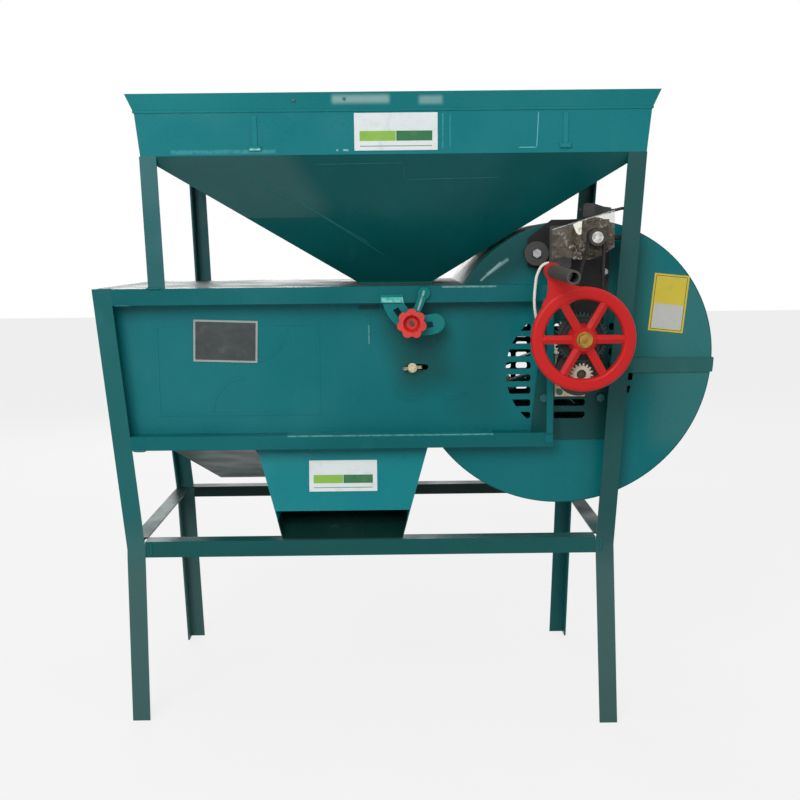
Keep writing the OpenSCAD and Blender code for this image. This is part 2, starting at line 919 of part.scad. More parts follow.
// Red wheel with a rounded rim, six ridged spokes and an ear with the boss of the grip's pin
module crank_wheel() {
    rim_w = 21;
    spoke_end = wheel_r - rim_w;
    color(red) place() difference() {
        union() {
            rod(fan_x, crank_z, hub_a, nut_a - move_gap, hub_r);
            ahead(fan_x, crank_z, wheel_mid) {
                translate([0, 0, -wheel_w / 2]) cylinder(h = wheel_w, r1 = hub_r + 7, r2 = hub_r + 1);
                rotate_extrude($fn = 96) translate([wheel_r - rim_w / 2, 0]) rounded(rim_w, wheel_w, 6);
                for (k = [0 : 5]) rotate([0, 0, k * 60]) rotate([0, 90, 0]) {
                    cylinder(h = spoke_end, r1 = 8.5, r2 = 7.5, $fn = 6);
                    translate([0, 0, spoke_end]) cylinder(h = rim_w * 0.6, r1 = 7.5, r2 = 4, $fn = 6);
                }
            }
            ahead(fan_x, crank_z, wheel_mid - ear_w / 2) linear_extrude(ear_w) rotate(grip_angle) polygon([
                [wheel_r - 22, -34], [wheel_r - 6, -30], [wheel_r + 2, -21], [grip_throw - 24, -15],
                [grip_throw - 10, -12], [grip_throw, -11], [grip_throw, 11], [grip_throw - 10, 12.5],
                [grip_throw - 24, 18], [wheel_r + 2, 26], [wheel_r - 6, 37], [wheel_r - 22, 40]
            ]);
            pin_place(wheel_mid - boss_w / 2) cylinder(h = boss_w, r = 13);
        }
        rod(fan_x, crank_z, hub_a - 1, nut_a + 1, axle_r + run_gap);
        pin_place(wheel_mid - boss_w) cylinder(h = 2 * boss_w, r = pin_r);
    }
}

// Angle that a tooth flank has turned through at radius r, for base radius rb
function flank_turn(r, rb) = sqrt(pow(max(r / rb, 1), 2) - 1) * 180 / PI - acos(min(rb / r, 1));

// Gear outline with involute teeth; a tooth points along X
module gear_outline(teeth) {
    pitch_r = gear_module * teeth / 2;
    base_r = pitch_r * cos(20);
    tip_r = pitch_r + 0.9 * gear_module;
    root_r = pitch_r - 1.25 * gear_module;
    half = 90 / teeth - gear_gap / 2 / pitch_r * 180 / PI + flank_turn(pitch_r, base_r);
    low_r = max(base_r, root_r);
    steps = 4;
    flank = [for (i = [0 : steps]) low_r + (tip_r - low_r) * i / steps];
    polygon([for (k = [0 : teeth - 1]) each concat(
        [polar(root_r, k * 360 / teeth - half - 0.01)],
        [for (r = flank) polar(r, k * 360 / teeth - half + flank_turn(r, base_r))],
        [for (i = [steps : -1 : 0]) polar(flank[i], k * 360 / teeth + half - flank_turn(flank[i], base_r))],
        [polar(root_r, k * 360 / teeth + half + 0.01)]
    )]);
}

function polar(r, a) = [r * cos(a), r * sin(a)];

// Gear on the crank with a recessed face, and a sleeve that reaches the wheel's hub
module crank_gear() {
    recess = 3;
    color(steel) place() difference() {
        union() {
            ahead(fan_x, crank_z, gear_a) linear_extrude(gear_w) rotate(-90) gear_outline(gear_teeth);
            rod(fan_x, crank_z, boss_a + 1, hub_a, 15);
        }
        rod(fan_x, crank_z, boss_a, hub_a + 1, axle_r + run_gap);
        tube(fan_x, crank_z, gear_a + gear_w - recess, gear_a + gear_w + 1, 35, 21);
    }
}

// Pin through the wheel's boss, with a collar behind the grip and a head inside its bore
module grip_pin() {
    back = wheel_mid - boss_w / 2;
    front = back + boss_w;
    color(steel) place() {
        pin_place(back) cylinder(h = head_a - back, r = pin_r);
        difference() {
            pin_place(front) cylinder(h = grip_a - move_gap - front, r = 9);
            pin_place(back) cylinder(h = grip_a - back, r = pin_r);
        }
        pin_place(head_a) cylinder(h = 5, r = head_r - move_gap);
    }
}

module crank_grip() {
    color(black) place() difference() {
        pin_place(grip_a) cylinder(h = grip_len, r = grip_r);
        pin_place(grip_a - 1) cylinder(h = grip_len + 2, r = pin_r + run_gap);
        pin_place(head_a - move_gap) cylinder(h = grip_end - head_a + 1, r = head_r);
    }
}

// Fan

module front_bearing() {
    color(steel) place() {
        tube(fan_x, fan_z, bracket_a, bracket_a + 6, 23, shaft_r + run_gap);
        tube(fan_x, fan_z, bracket_a + 6, belt_a - 7, 15, shaft_r + run_gap);
    }
}

// Rear bearing on a flat bar that bridges the intake
module rear_bearing() {
    color(steel) place() mirror([0, 1, 0]) difference() {
        union() {
            slab(face_y - 4, face_y) translate([fan_x - 19, fan_z - 140]) square([38, 280]);
            rod(fan_x, fan_z, 4, 10, 23);
            rod(fan_x, fan_z, 10, 24, 15);
        }
        rod(fan_x, fan_z, -1, 30, shaft_r + run_gap);
    }
}

// Shaft that ends a little way inside the pinion's bore
module fan_shaft() {
    color(steel) place() rod(fan_x, fan_z, 2 * face_y - 20, gear_a + gear_w - 5, shaft_r);
}

// Two hubs with four arms each
module fan_spiders() {
    color(paint) place() for (y = [-1, 1])
        translate([fan_x, y * inner_half * 0.6, fan_z]) rotate([90, 0, 0]) difference() {
            union() {
                cylinder(h = 36, r = 22, center = true);
                for (k = [0 : 3]) rotate([0, 0, 20 + k * 90])
                    translate([10, -arm_t / 2, -13]) cube([fan_r - 20, arm_t, 26]);
            }
            cylinder(h = 40, r = shaft_r, center = true);
        }
}

module fan_blades() {
    color(paint) place() translate([fan_x, 0, fan_z]) rotate([90, 0, 0])
        for (k = [0 : 3]) rotate([0, 0, 20 + k * 90])
            translate([fan_r - 85, arm_t / 2, -inner_half + 14]) cube([85, 2, 2 * inner_half - 28]);
}

// Pulley outline for turning: two flanges beside a flat floor
module pulley_profile(floor_r, bore) {
    rim = floor_r + belt_gap + belt_t;
    polygon([
        [bore, -3], [rim, -3], [rim, -1], [floor_r, 0], [floor_r, belt_w],
        [rim, belt_w + 1], [rim, belt_w + 3], [bore, belt_w + 3]
    ]);
}

module fan_pulley() {
    color(black) place() ahead(fan_x, fan_z, belt_a) rotate_extrude($fn = 96)
        pulley_profile(pulley_floor, shaft_r);
}

// White pinion with a collar behind it
module pinion() {
    color("white") place() difference() {
        union() {
            ahead(fan_x, fan_z, gear_a - 1) linear_extrude(gear_w + 3)
                rotate(90 + 180 / pinion_teeth) gear_outline(pinion_teeth);
            rod(fan_x, fan_z, belt_a + belt_w + 3, gear_a - 1, 13);
        }
        rod(fan_x, fan_z, belt_a, gear_a + 30, shaft_r);
    }
}

// Outline that a taut belt of a given offset makes round both pulleys
module belt_outline(offset_r) {
    r1 = pulley_floor + offset_r;
    r2 = motor_floor + offset_r;
    dx = motor_x - fan_x;
    dz = motor_z - fan_z;
    turn = atan2(dz, dx);
    spread = acos((r1 - r2) / norm([dx, dz]));
    circle(r1);
    translate([dx, dz]) circle(r2);
    polygon([
        polar(r1, turn + spread), polar(r1, turn - spread),
        [dx, dz] + polar(r2, turn - spread), [dx, dz] + polar(r2, turn + spread)
    ]);
}

module drive_belt() {
    color(black) place() ahead(fan_x, fan_z, belt_a + belt_gap) linear_extrude(belt_w - 2 * belt_gap)
        difference() {
            belt_outline(belt_gap + belt_t);
            belt_outline(belt_gap);
        }
}

// Motor

// Dark plate behind the motor and the clamp knob, with a tongue that reaches down to the crank
module motor_bracket() {
    color(black) place() slab(face_y - motor_a, face_y - plate_a) translate([motor_x, motor_z])
        polygon([
            [-102, -47], [-40, -58], [-24, -100], [-23, -136], [21, -136], [22, -100], [36, -67],
            [36, 31], [-62, 31], [-102, 0]
        ]);
}

// Round motor with its bearing boss, and the tapered strain relief of its lead
module motor_body() {
    color([0.13, 0.13, 0.14]) place() {
        difference() {
            union() {
                rod(motor_x, motor_z, motor_a, motor_a + 60, motor_r);
                rod(motor_x, motor_z, motor_a + 60, motor_a + 66, motor_r - 5);
                rod(motor_x, motor_z, motor_a + 66, belt_a - 4, 11);
            }
            rod(motor_x, motor_z, motor_a + 40, belt_a, motor_shaft_r + run_gap);
        }
        difference() {
            translate([motor_x + motor_r - 3, face_y - lead_a, motor_z]) rotate([0, 90, 0])
                cylinder(h = gland_x - motor_r + 3, r1 = 5.5, r2 = lead_r + 0.8);
            rod(motor_x, motor_z, motor_a + 5, motor_a + 40, motor_r - 2);
        }
    }
}

// Motor shaft with its bright pulley
module motor_rotor() {
    color("silver") place() {
        rod(motor_x, motor_z, motor_a + 41, belt_a + belt_w + 4, motor_shaft_r);
        ahead(motor_x, motor_z, belt_a) rotate_extrude() pulley_profile(motor_floor, motor_shaft_r);
    }
}

module switch_box() {
    color(black) place() slab(face_y - motor_a - 44, face_y - motor_a)
        translate([motor_x - 53, motor_z - 15]) rounded(36, 70, 4);
}

// Round clamp knob with its bright bolt
module clamp_knob() {
    color(black) place() {
        rod(motor_x - 91, motor_z - 25, motor_a, motor_a + 20, 8);
        rod(motor_x - 91, motor_z - 25, motor_a + 20, motor_a + 34, 20);
    }
}

// Leads

// Place on the working frame of a route's point, given from the motor's axis
function lead_at(p) = [motor_x + p[0], face_y - p[1], motor_z + p[2]];

// Round tube along a route that never runs straight forwards
module lead(route) {
    sides = 10;
    last = len(route) - 1;
    points = [for (i = [0 : last]) let (
        span = lead_at(route[min(i + 1, last)]) - lead_at(route[max(i - 1, 0)]),
        along = span / norm(span),
        across = cross(along, [0, 1, 0]) / norm(cross(along, [0, 1, 0])),
        up = cross(across, along)
    ) each [for (k = [0 : sides - 1])
        lead_at(route[i]) + lead_r * (cos(k * 360 / sides) * across + sin(k * 360 / sides) * up)
    ]];
    skin = [for (i = [0 : last - 1], k = [0 : sides - 1]) let (
        a = i * sides + k,
        b = i * sides + (k + 1) % sides
    ) each [[a, b, b + sides], [a, b + sides, a + sides]]];
    polyhedron(points, concat(
        skin,
        [[for (k = [sides - 1 : -1 : 0]) k]],
        [[for (k = [0 : sides - 1]) last * sides + k]]
    ));
}

// The two stretches of the mains lead that aren't in the hank
module mains_lead() {
    color(black) place() {
        lead(gland_route);
        lead(plug_route);
    }
}

// Spare length of the mains lead, folded and tied inside the right front post
module mains_hank() {
    width = 2 * (hank_fold + lead_r);
    color(black) place() ahead(hank_x, hank_z, hank_a - lead_r) rotate([0, 0, -post_lean])
        linear_extrude(hank_pitch * (hank_turns - 1) + 2 * lead_r) {
            circle(d = width);
            translate([0, -hank_run]) circle(d = width);
            translate([-width / 2, -hank_run]) square([width, hank_run]);
        }
}

// Angled two-pin plug that lies on the motor, its pins to the rear
module mains_plug() {
    color(black) place() translate([motor_x, face_y - lead_a, motor_z + plug_z]) {
        difference() {
            intersection() {
                slab(-15, 13) polygon([
                    [-14, -plug_h], [2, -plug_h], [22, -6], [34, -4.5], [34, 4.5], [22, 6], [2, plug_h],
                    [-10, plug_h], [-14, 7]
                ]);
                translate([0, 0, -20]) linear_extrude(40) polygon([
                    [-14, -13], [6, -13], [20, -6], [34, -4.5], [34, 4.5], [20, 7], [8, 15], [-14, 15]
                ]);
            }
            translate([30, 0, 0]) rotate([0, 90, 0]) cylinder(h = 10, r = lead_bore);
        }
        for (x = [-9, 9])
            translate([x - 2, 32, 2]) rotate([90, 0, 0]) cylinder(h = 19, r = 2);
    }
}

module white_lead() {
    color("white") place() lead(switch_route);
}

// Small connector on the edge of the bracket that the white lead ends in
module lead_connector() {
    color("white") place() difference() {
        slab(face_y - bracket_a - 20, face_y - bracket_a)
            translate([motor_x + connector_x, motor_z + connector_z]) rounded(14, 20, 2);
        translate(lead_at([-70, 20, -178])) rotate([0, 90, 0]) cylinder(h = 16, r = lead_bore);
    }
}

// Bolts of the mounting plate, bracket and clamp knob
module fasteners() {
    color("silver") place() {
        for (x = [plate_x + 23, plate_end - 11]) hexagon(x, floor_z + 80, plate_a, plate_a + 6, 13);
        for (x = [-18, 18]) hexagon(fan_x + x, fan_z - 43, bracket_a, bracket_a + 5, 10);
        for (p = [[-94, -39], [29, -57]])
            hexagon(motor_x + p[0], motor_z + p[1], motor_a, motor_a + 5, 10);
        hexagon(motor_x - 91, motor_z - 25, motor_a + 34, motor_a + 40, 13);
    }
}

leg_front_left();
leg_front_right();
leg_rear_left();
leg_rear_right();
hopper_posts();
top_rails();
bottom_rails();
crossbars();
outlet_bars();
rail_end_bar();
hopper_funnel();
hopper_band();
hopper_rim();
hopper_clips();
side_sheet_front();
side_sheet_rear();
tunnel_top();
tunnel_floor();
drum_wrap_upper();
drum_wrap_lower();
drum_seam_strap();
mounting_plate();
grain_chute();
light_chute();
label_blanks();
rating_plate_blank();
warning_sticker_blank();
gate_flap();
gate_lever();
gate_quadrant();
gate_knob();
gate_stud();
baffle_board();
baffle_stud_nut();
crank_bracket();
crank_axle();
crank_nut();
crank_wheel();
crank_gear();
grip_pin();
crank_grip();
front_bearing();
rear_bearing();
fan_shaft();
fan_spiders();
fan_blades();
fan_pulley();
pinion();
drive_belt();
motor_bracket();
motor_body();
motor_rotor();
switch_box();
clamp_knob();
mains_lead();
mains_hank();
mains_plug();
white_lead();
lead_connector();
fasteners();
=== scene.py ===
"""Looks of a sheet-metal winnowing machine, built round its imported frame."""

import logging
import math
from dataclasses import dataclass
from enum import Enum

import bmesh
import bpy
from mathutils import Matrix, Vector, noise
from mathutils.bvhtree import BVHTree


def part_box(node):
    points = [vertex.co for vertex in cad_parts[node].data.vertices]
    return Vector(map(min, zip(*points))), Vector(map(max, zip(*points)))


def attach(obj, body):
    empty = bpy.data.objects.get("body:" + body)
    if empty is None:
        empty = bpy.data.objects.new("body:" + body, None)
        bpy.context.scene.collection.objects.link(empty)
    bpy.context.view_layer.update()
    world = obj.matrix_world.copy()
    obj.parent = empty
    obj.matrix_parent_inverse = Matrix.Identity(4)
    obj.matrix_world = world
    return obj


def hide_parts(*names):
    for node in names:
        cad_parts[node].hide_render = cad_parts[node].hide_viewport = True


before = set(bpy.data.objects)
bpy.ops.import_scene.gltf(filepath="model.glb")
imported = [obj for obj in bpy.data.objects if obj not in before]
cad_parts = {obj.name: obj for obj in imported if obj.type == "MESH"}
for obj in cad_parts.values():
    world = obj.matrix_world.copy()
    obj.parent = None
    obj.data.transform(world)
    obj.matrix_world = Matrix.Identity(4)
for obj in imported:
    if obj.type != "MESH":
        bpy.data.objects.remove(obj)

log = logging.getLogger("winnower")
Point = tuple[float, float, float]
Pair = tuple[float, float]
Color = tuple[float, float, float]
Socket = bpy.types.NodeSocket
Value = float | Socket

DISC_EDGE = 0.4
PLANE_EDGE = 0.2
MIX_FIRST, MIX_SECOND, MIX_RESULT = 6, 7, 2
SHARP_ANGLE = math.radians(40)
CORD_RESOLUTION = 4
WHITE = (1.0, 1.0, 1.0)


def srgb(red: int, green: int, blue: int) -> Color:
    """Linear colour of an 8-bit sRGB colour."""
    channels = (red / 255, green / 255, blue / 255)
    return tuple(c / 12.92 if c <= 0.04045 else ((c + 0.055) / 1.055) ** 2.4 for c in channels)


def paler(color: Color, times: float = 1.3, plus: float = 0.01) -> Color:
    """Lighter shade of a colour."""
    return tuple(min(1.0, c * times + plus) for c in color)


TEAL_COLOR = srgb(0, 98, 103)
TEAL_PALE = srgb(18, 112, 117)
SHINE = srgb(96, 186, 188)
# Pale streaks on the panel: partly scuffs and partly painted glare.
PALE_STREAK = srgb(110, 158, 156)
SHADE = srgb(6, 62, 60)
GLARE = srgb(150, 186, 184)
GRIME = srgb(120, 124, 112)
PIN_METAL = srgb(200, 190, 150)
# Painted highlight on the film's creases.
CREASE_HIGHLIGHT = (0.9, 0.9, 0.86)
STRIPE_LIGHT = srgb(128, 176, 62)
STRIPE_DARK = srgb(24, 104, 58)
LINE_GREY = srgb(130, 138, 130)
STICKER_YELLOW = srgb(196, 178, 46)


@dataclass(frozen=True)
class Datum:
    """Where the working frame's zero lies in the row's frame, in millimetres."""

    x: float = -1.0
    y: float = 109.679
    face_y: float = -204.0
    motor_x: float = 309.0
    motor_z: float = 853.0

    def at(self, x: float, y: float, z: float) -> Vector:
        """Point in the row's frame, in metres, of a place in the working frame."""
        return Vector(((x + self.x) / 1000, (y + self.y) / 1000, z / 1000))

    def ahead(self, x: float, out: float, z: float) -> Vector:
        """Point at a distance in front of the front side sheet."""
        return self.at(x, self.face_y - out, z)

    def from_motor(self, place: Point) -> Vector:
        """Point given as x, distance ahead and z from the motor's axis."""
        return self.ahead(self.motor_x + place[0], place[1], self.motor_z + place[2])


DATUM = Datum()


@dataclass(frozen=True)
class Patch:
    """Rectangle printed on, painted on or rubbed into a front face, or painted there as light or shade, in
    millimetres; none shows behind its back plane.
    """

    x: float
    z: float
    width: float
    height: float
    color: Color
    turn: float = 0.0
    edge: float = 0.4
    strength: float = 1.0
    back: float = -60.0


@dataclass(frozen=True)
class Mottle:
    """Cloudy noise, by its scale per metre, cut between two levels and spread over a span of values."""

    scale: float
    detail: float
    low: float
    high: float
    least: float
    most: float
    stretch: Point = (1.0, 1.0, 1.0)


@dataclass(frozen=True)
class Relief:
    """Fine relief of a noise, by its scale per metre, with its depth in metres."""

    scale: float
    detail: float
    depth: float = 0.0


NO_RELIEF = Relief(1.0, 1.0)


class Graph:
    """Adds shader nodes to a material or to the world, and joins their sockets."""

    def __init__(self, name: str, world: bool = False) -> None:
        """Starts an empty node tree with an output node.

        Args:
            name: name of the new material or world.
            world: whether it is a world.
        """
        self.owner = (bpy.data.worlds if world else bpy.data.materials).new(name)
        self.owner.use_nodes = True
        self.tree = self.owner.node_tree
        self.tree.nodes.clear()
        self.output = self.node("OutputWorld" if world else "OutputMaterial")

    def node(self, kind: str, settings: dict[str, str] | None = None, **inputs: object) -> bpy.types.Node:
        """Adds a node.

        Args:
            kind: the node's type without its ShaderNode prefix.
            settings: properties to set on the node.
            **inputs: socket names, or i and a number, with a constant or a socket to link.

        Returns:
            The new node.
        """
        node = self.tree.nodes.new("ShaderNode" + kind)
        for key, value in (settings or {}).items():
            setattr(node, key, value)
        for key, value in inputs.items():
            numbered = key[0] == "i" and key[1:].isdigit()
            self.feed(node.inputs[int(key[1:])] if numbered else node.inputs[key.replace("_", " ")], value)
        return node

    def feed(self, socket: Socket, value: object) -> None:
        """Links a socket to an input, or sets a constant on it.

        Args:
            socket: the input.
            value: a socket, a number, a vector or a colour of three values.
        """
        if isinstance(value, Socket):
            self.tree.links.new(value, socket)
        elif isinstance(value, tuple) and len(value) == 3 and socket.type == "RGBA":
            socket.default_value = (*value, 1.0)
        else:
            socket.default_value = value

    def coords(self) -> Socket:
        """Object coordinates, which are metres in the row's frame."""
        return self.node("TexCoord").outputs["Object"]

    def noise(self, scale: float, detail: float, stretch: Point = (1.0, 1.0, 1.0)) -> Socket:
        """Noise value from 0 to 1, by its scale per metre."""
        mapping = self.node("Mapping", Vector=self.coords(), Scale=stretch)
        return self.node("TexNoise", Vector=mapping.outputs[0], Scale=scale, Detail=detail).outputs[0]

    def ramp(self, value: Socket, low: float, high: float, start: float, end: float) -> Socket:
        """Value mapped smoothly from the span low to high onto the span start to end."""
        smooth = {"interpolation_type": "SMOOTHSTEP"}
        return self.node("MapRange", smooth, i0=value, i1=low, i2=high, i3=start, i4=end).outputs[0]

    def mottle(self, look: Mottle, base: float = 0.0) -> Socket:
        """Value of a mottle, added to a base value."""
        value = self.noise(look.scale, look.detail, look.stretch)
        return self.ramp(value, look.low, look.high, base + look.least, base + look.most)

    def math(self, operation: str, first: Value, second: Value = 0.0) -> Socket:
        """Result of a maths node."""
        return self.node("Math", {"operation": operation}, i0=first, i1=second).outputs[0]

    def mix(self, factor: Value, first: Color | Socket, second: Color | Socket) -> Socket:
        """Colour between two colours.

        Args:
            factor: share of the second colour.
            first: colour at 0.
            second: colour at 1.

        Returns:
            The mixed colour.
        """
        node = self.node("Mix", {"data_type": "RGBA"}, i0=factor)
        self.feed(node.inputs[MIX_FIRST], first)
        self.feed(node.inputs[MIX_SECOND], second)
        return node.outputs[MIX_RESULT]

    def patch(self, patch: Patch) -> Socket:
        """Mask of a patch.

        Args:
            patch: the rectangle.

        Returns:
            The patch's strength inside it, 0 outside it and behind its back plane.
        """
        local = self.node(
            "Mapping", {"vector_type": "TEXTURE"}, Vector=self.coords(),
            Location=(patch.x / 1000, 0.0, patch.z / 1000), Rotation=(0.0, math.radians(patch.turn), 0.0),
        )
        parts = self.node("SeparateXYZ", Vector=local.outputs[0])
        mask = self.math("SUBTRACT", 1.0, self.behind(patch.back))
        for socket, size in ((parts.outputs[0], patch.width), (parts.outputs[2], patch.height)):
            half = size / 2000
            inside = self.ramp(self.math("ABSOLUTE", socket), half, half + patch.edge / 1000, 1.0, 0.0)
            mask = self.math("MULTIPLY", mask, inside)
        return self.math("MULTIPLY", mask, patch.strength)

    def disc(self, x: float, z: float, radius: float) -> Socket:
        """Mask of a round zone about an axis that runs front to back.

        Args:
            x: place of the axis across the machine, in millimetres.
            z: height of the axis.
            radius: the zone's radius.

        Returns:
            1 inside the zone and 0 outside it.
        """
        flat = self.node("VectorMath", {"operation": "MULTIPLY"}, i0=self.coords(), i1=(1.0, 0.0, 1.0))
        center = (x / 1000, 0.0, z / 1000)
        away = self.node("VectorMath", {"operation": "DISTANCE"}, i0=flat.outputs[0], i1=center)
        return self.ramp(away.outputs["Value"], radius / 1000, (radius + DISC_EDGE) / 1000, 1.0, 0.0)

    def behind(self, y: float) -> Socket:
        """Mask of what lies behind a plane across the depth, in millimetres."""
        parts = self.node("SeparateXYZ", Vector=self.coords())
        return self.ramp(parts.outputs[1], y / 1000, (y + PLANE_EDGE) / 1000, 0.0, 1.0)

    def relief(self, look: Relief, under: Socket | None = None) -> Socket:
        """Normal bent by a relief, on top of another bent normal."""
        extra = {"Normal": under} if under is not None else {}
        height = self.noise(look.scale, look.detail)
        return self.node("Bump", Strength=1.0, Distance=look.depth, Height=height, **extra).outputs[0]

    def show(self, shader: Socket) -> None:
        """Joins a shader to the output."""
        self.tree.links.new(shader, self.output.inputs[0])

    def surface(self, **inputs: object) -> bpy.types.Material:
        """Joins a principled surface to the output and returns the material."""
        self.show(self.node("BsdfPrincipled", **inputs).outputs[0])
        return self.owner


@dataclass(frozen=True)
class Paint:
    """Sprayed enamel on sheet metal, with painted light, shade and highlights."""

    name: str
    color: Color
    pale: Color
    roughness: float = 0.32
    peel: Relief = Relief(420.0, 2.0, 0.0003)
    dents: Relief = Relief(4.0, 1.5, 0.03)
    specular: float = 0.16
    # The next fields: painted highlights with a few scuffs, patches of painted light and shade, and the plane
    # behind which painted shade falls, with its colour.
    highlights_and_scuffs: tuple[Patch, ...] = ()
    light_and_shade: tuple[Patch, ...] = ()
    shade_from_y: float | None = None
    shade_color: Color = (0.0, 0.0, 0.0)
    cloud: Mottle = Mottle(2.6, 4.0, 0.35, 0.7, 0.0, 0.6)
    streak: Mottle = Mottle(9.0, 5.0, 0.55, 0.8, 0.0, 0.35, (1.0, 1.0, 0.25))
    dust: Mottle = Mottle(30.0, 6.0, 0.6, 0.85, 0.0, 0.2, (1.0, 1.0, 0.5))
    speck: Mottle = Mottle(260.0, 2.0, 0.72, 0.8, 0.0, 0.2)
    # Noise that breaks up the painted highlights and scuffs.
    mark_breakup: Mottle = Mottle(150.0, 3.0, 0.35, 0.6, 0.45, 1.0)
    sheen: Mottle = Mottle(14.0, 4.0, 0.3, 0.7, -0.06, 0.1)

    def material(self) -> bpy.types.Material:
        """Enamel with orange peel, soft dents, uneven tone, runs, dust, specks, patches of painted light and
        shade, painted highlights with a few scuffs, and painted shade behind a plane.

        Returns:
            The new material.
        """
        g = Graph(self.name)
        tone = g.mix(g.mottle(self.cloud), self.color, self.pale)
        tone = g.mix(g.mottle(self.streak), tone, self.pale)
        # Patches of painted light and shade.
        for tint in self.light_and_shade:
            tone = g.mix(g.patch(tint), tone, tint.color)
        tone = g.mix(g.mottle(self.dust), tone, paler(self.pale, 1.2, 0.03))
        tone = g.mix(g.mottle(self.speck), tone, paler(self.pale, 1.5, 0.02))
        # Painted highlights and a few scuffs, broken up by noise.
        broken = g.mottle(self.mark_breakup)
        for mark in self.highlights_and_scuffs:
            tone = g.mix(g.math("MULTIPLY", g.patch(mark), broken), tone, mark.color)
        # Painted shade on what lies behind a plane.
        if self.shade_from_y is not None:
            tone = g.mix(g.behind(self.shade_from_y), tone, self.shade_color)
        rough = g.mottle(self.sheen, self.roughness)
        normal = g.relief(self.peel, g.relief(self.dents))
        return g.surface(Base_Color=tone, Roughness=rough, Normal=normal, Specular_IOR_Level=self.specular)


@dataclass(frozen=True)
class Metal:
    """Bare or plated metal, dull outside its bright boss if it has one."""

    name: str
    color: Color
    stain: Color
    roughness: float = 0.35
    metallic: float = 1.0
    painted: tuple[Patch, ...] = ()
    stains: Mottle = Mottle(60.0, 5.0, 0.45, 0.75, 0.0, 0.8)
    sheen: Mottle = Mottle(140.0, 3.0, 0.3, 0.7, -0.08, 0.15)
    scratches: Relief = Relief(900.0, 2.0, 0.0006)
    boss: Point | None = None
    rim_metallic: float = 0.55

    def material(self) -> bpy.types.Material:
        """Metal with stains, fine scratches and uneven gloss, and with a bare boss or painted zones.

        Returns:
            The new material.
        """
        g = Graph(self.name)
        stain = g.mottle(self.stains)
        tone = g.mix(stain, self.color, self.stain)
        metallic = self.metallic
        if self.boss is not None:
            boss = g.disc(*self.boss)
            tone = g.mix(boss, g.mix(stain, self.stain, paler(self.stain, 1.4)), tone)
            metallic = g.ramp(boss, 0.0, 1.0, self.rim_metallic, self.metallic)
        for zone in self.painted:
            mask = g.patch(zone)
            tone = g.mix(mask, tone, zone.color)
            metallic = g.ramp(mask, 0.0, 1.0, self.metallic, 0.0)
        rough = g.mottle(self.sheen, self.roughness)
        return g.surface(Base_Color=tone, Metallic=metallic, Roughness=rough, Normal=g.relief(self.scratches))


@dataclass(frozen=True)
class Plastic:
    """Moulded plastic or rubber, with plated pins behind a plane if it has one."""

    name: str
    color: Color
    roughness: float = 0.5
    pits: Relief = Relief(1200.0, 2.0, 0.0004)
    specular: float = 0.5
    cloud: Mottle = Mottle(35.0, 4.0, 0.4, 0.75, 0.0, 0.35)
    sheen: Mottle = Mottle(90.0, 3.0, 0.35, 0.7, -0.07, 0.1)
    pins_y: float | None = None

    def material(self) -> bpy.types.Material:
        """Plastic with a moulded grain, slight clouding and rubbed patches.

        Returns:
            The new material.
        """
        g = Graph(self.name)
        tone = g.mix(g.mottle(self.cloud), self.color, paler(self.color))
        metallic = 0.0
        if self.pins_y is not None:
            metallic = g.behind(self.pins_y)
            tone = g.mix(metallic, tone, PIN_METAL)
        rough = g.mottle(self.sheen, self.roughness)
        return g.surface(Base_Color=tone, Metallic=metallic, Roughness=rough, Normal=g.relief(self.pits),
                         Specular_IOR_Level=self.specular)


@dataclass(frozen=True)
class Print:
    """Stuck-on or riveted plate with plain printed zones."""

    name: str
    color: Color
    patches: tuple[Patch, ...]
    roughness: float = 0.3
    grime: Mottle = Mottle(45.0, 5.0, 0.52, 0.85, 0.0, 0.3)
    sheen: Mottle = Mottle(30.0, 4.0, 0.3, 0.7, -0.05, 0.12)
    waves: Relief = Relief(16.0, 3.0, 0.003)

    def material(self) -> bpy.types.Material:
        """Printed plate with its zones, handling grime and a slightly uneven face.

        Returns:
            The new material.
        """
        g = Graph(self.name)
        tone = self.color
        for patch in self.patches:
            tone = g.mix(g.patch(patch), tone, patch.color)
        tone = g.mix(g.mottle(self.grime), tone, GRIME)
        rough = g.mottle(self.sheen, self.roughness)
        return g.surface(Base_Color=tone, Roughness=rough, Normal=g.relief(self.waves))


@dataclass(frozen=True)
class Film:
    """Thin clear wrapping with a brown cast."""

    name: str
    color: Color
    alpha: float
    roughness: float = 0.16
    specular: float = 0.9
    cloud: Mottle = Mottle(60.0, 5.0, 0.35, 0.7, 0.0, 1.0)
    folds: Relief = Relief(46.0, 4.0)
    fold_half: float = 0.022
    broken: Mottle = Mottle(30.0, 2.0, 0.42, 0.6, 0.0, 1.0)
    crackle: Relief = Relief(160.0, 5.0, 0.006)

    def material(self) -> bpy.types.Material:
        """Glossy see-through skin with fine crackle, and creases painted pale as highlights.

        Returns:
            The new material.
        """
        g = Graph(self.name)
        tone = g.mix(g.mottle(self.cloud), self.color, paler(self.color, 1.8, 0.03))
        folds = g.noise(self.folds.scale, self.folds.detail)
        ridge = g.math("ABSOLUTE", g.math("SUBTRACT", folds, 0.5))
        crease = g.math("MULTIPLY", g.ramp(ridge, 0.0, self.fold_half, 1.0, 0.0), g.mottle(self.broken))
        # Painted highlights along the creases.
        tone = g.mix(crease, tone, CREASE_HIGHLIGHT)
        return g.surface(Base_Color=tone, Roughness=self.roughness, Alpha=self.alpha,
                         Normal=g.relief(self.crackle), Specular_IOR_Level=self.specular)


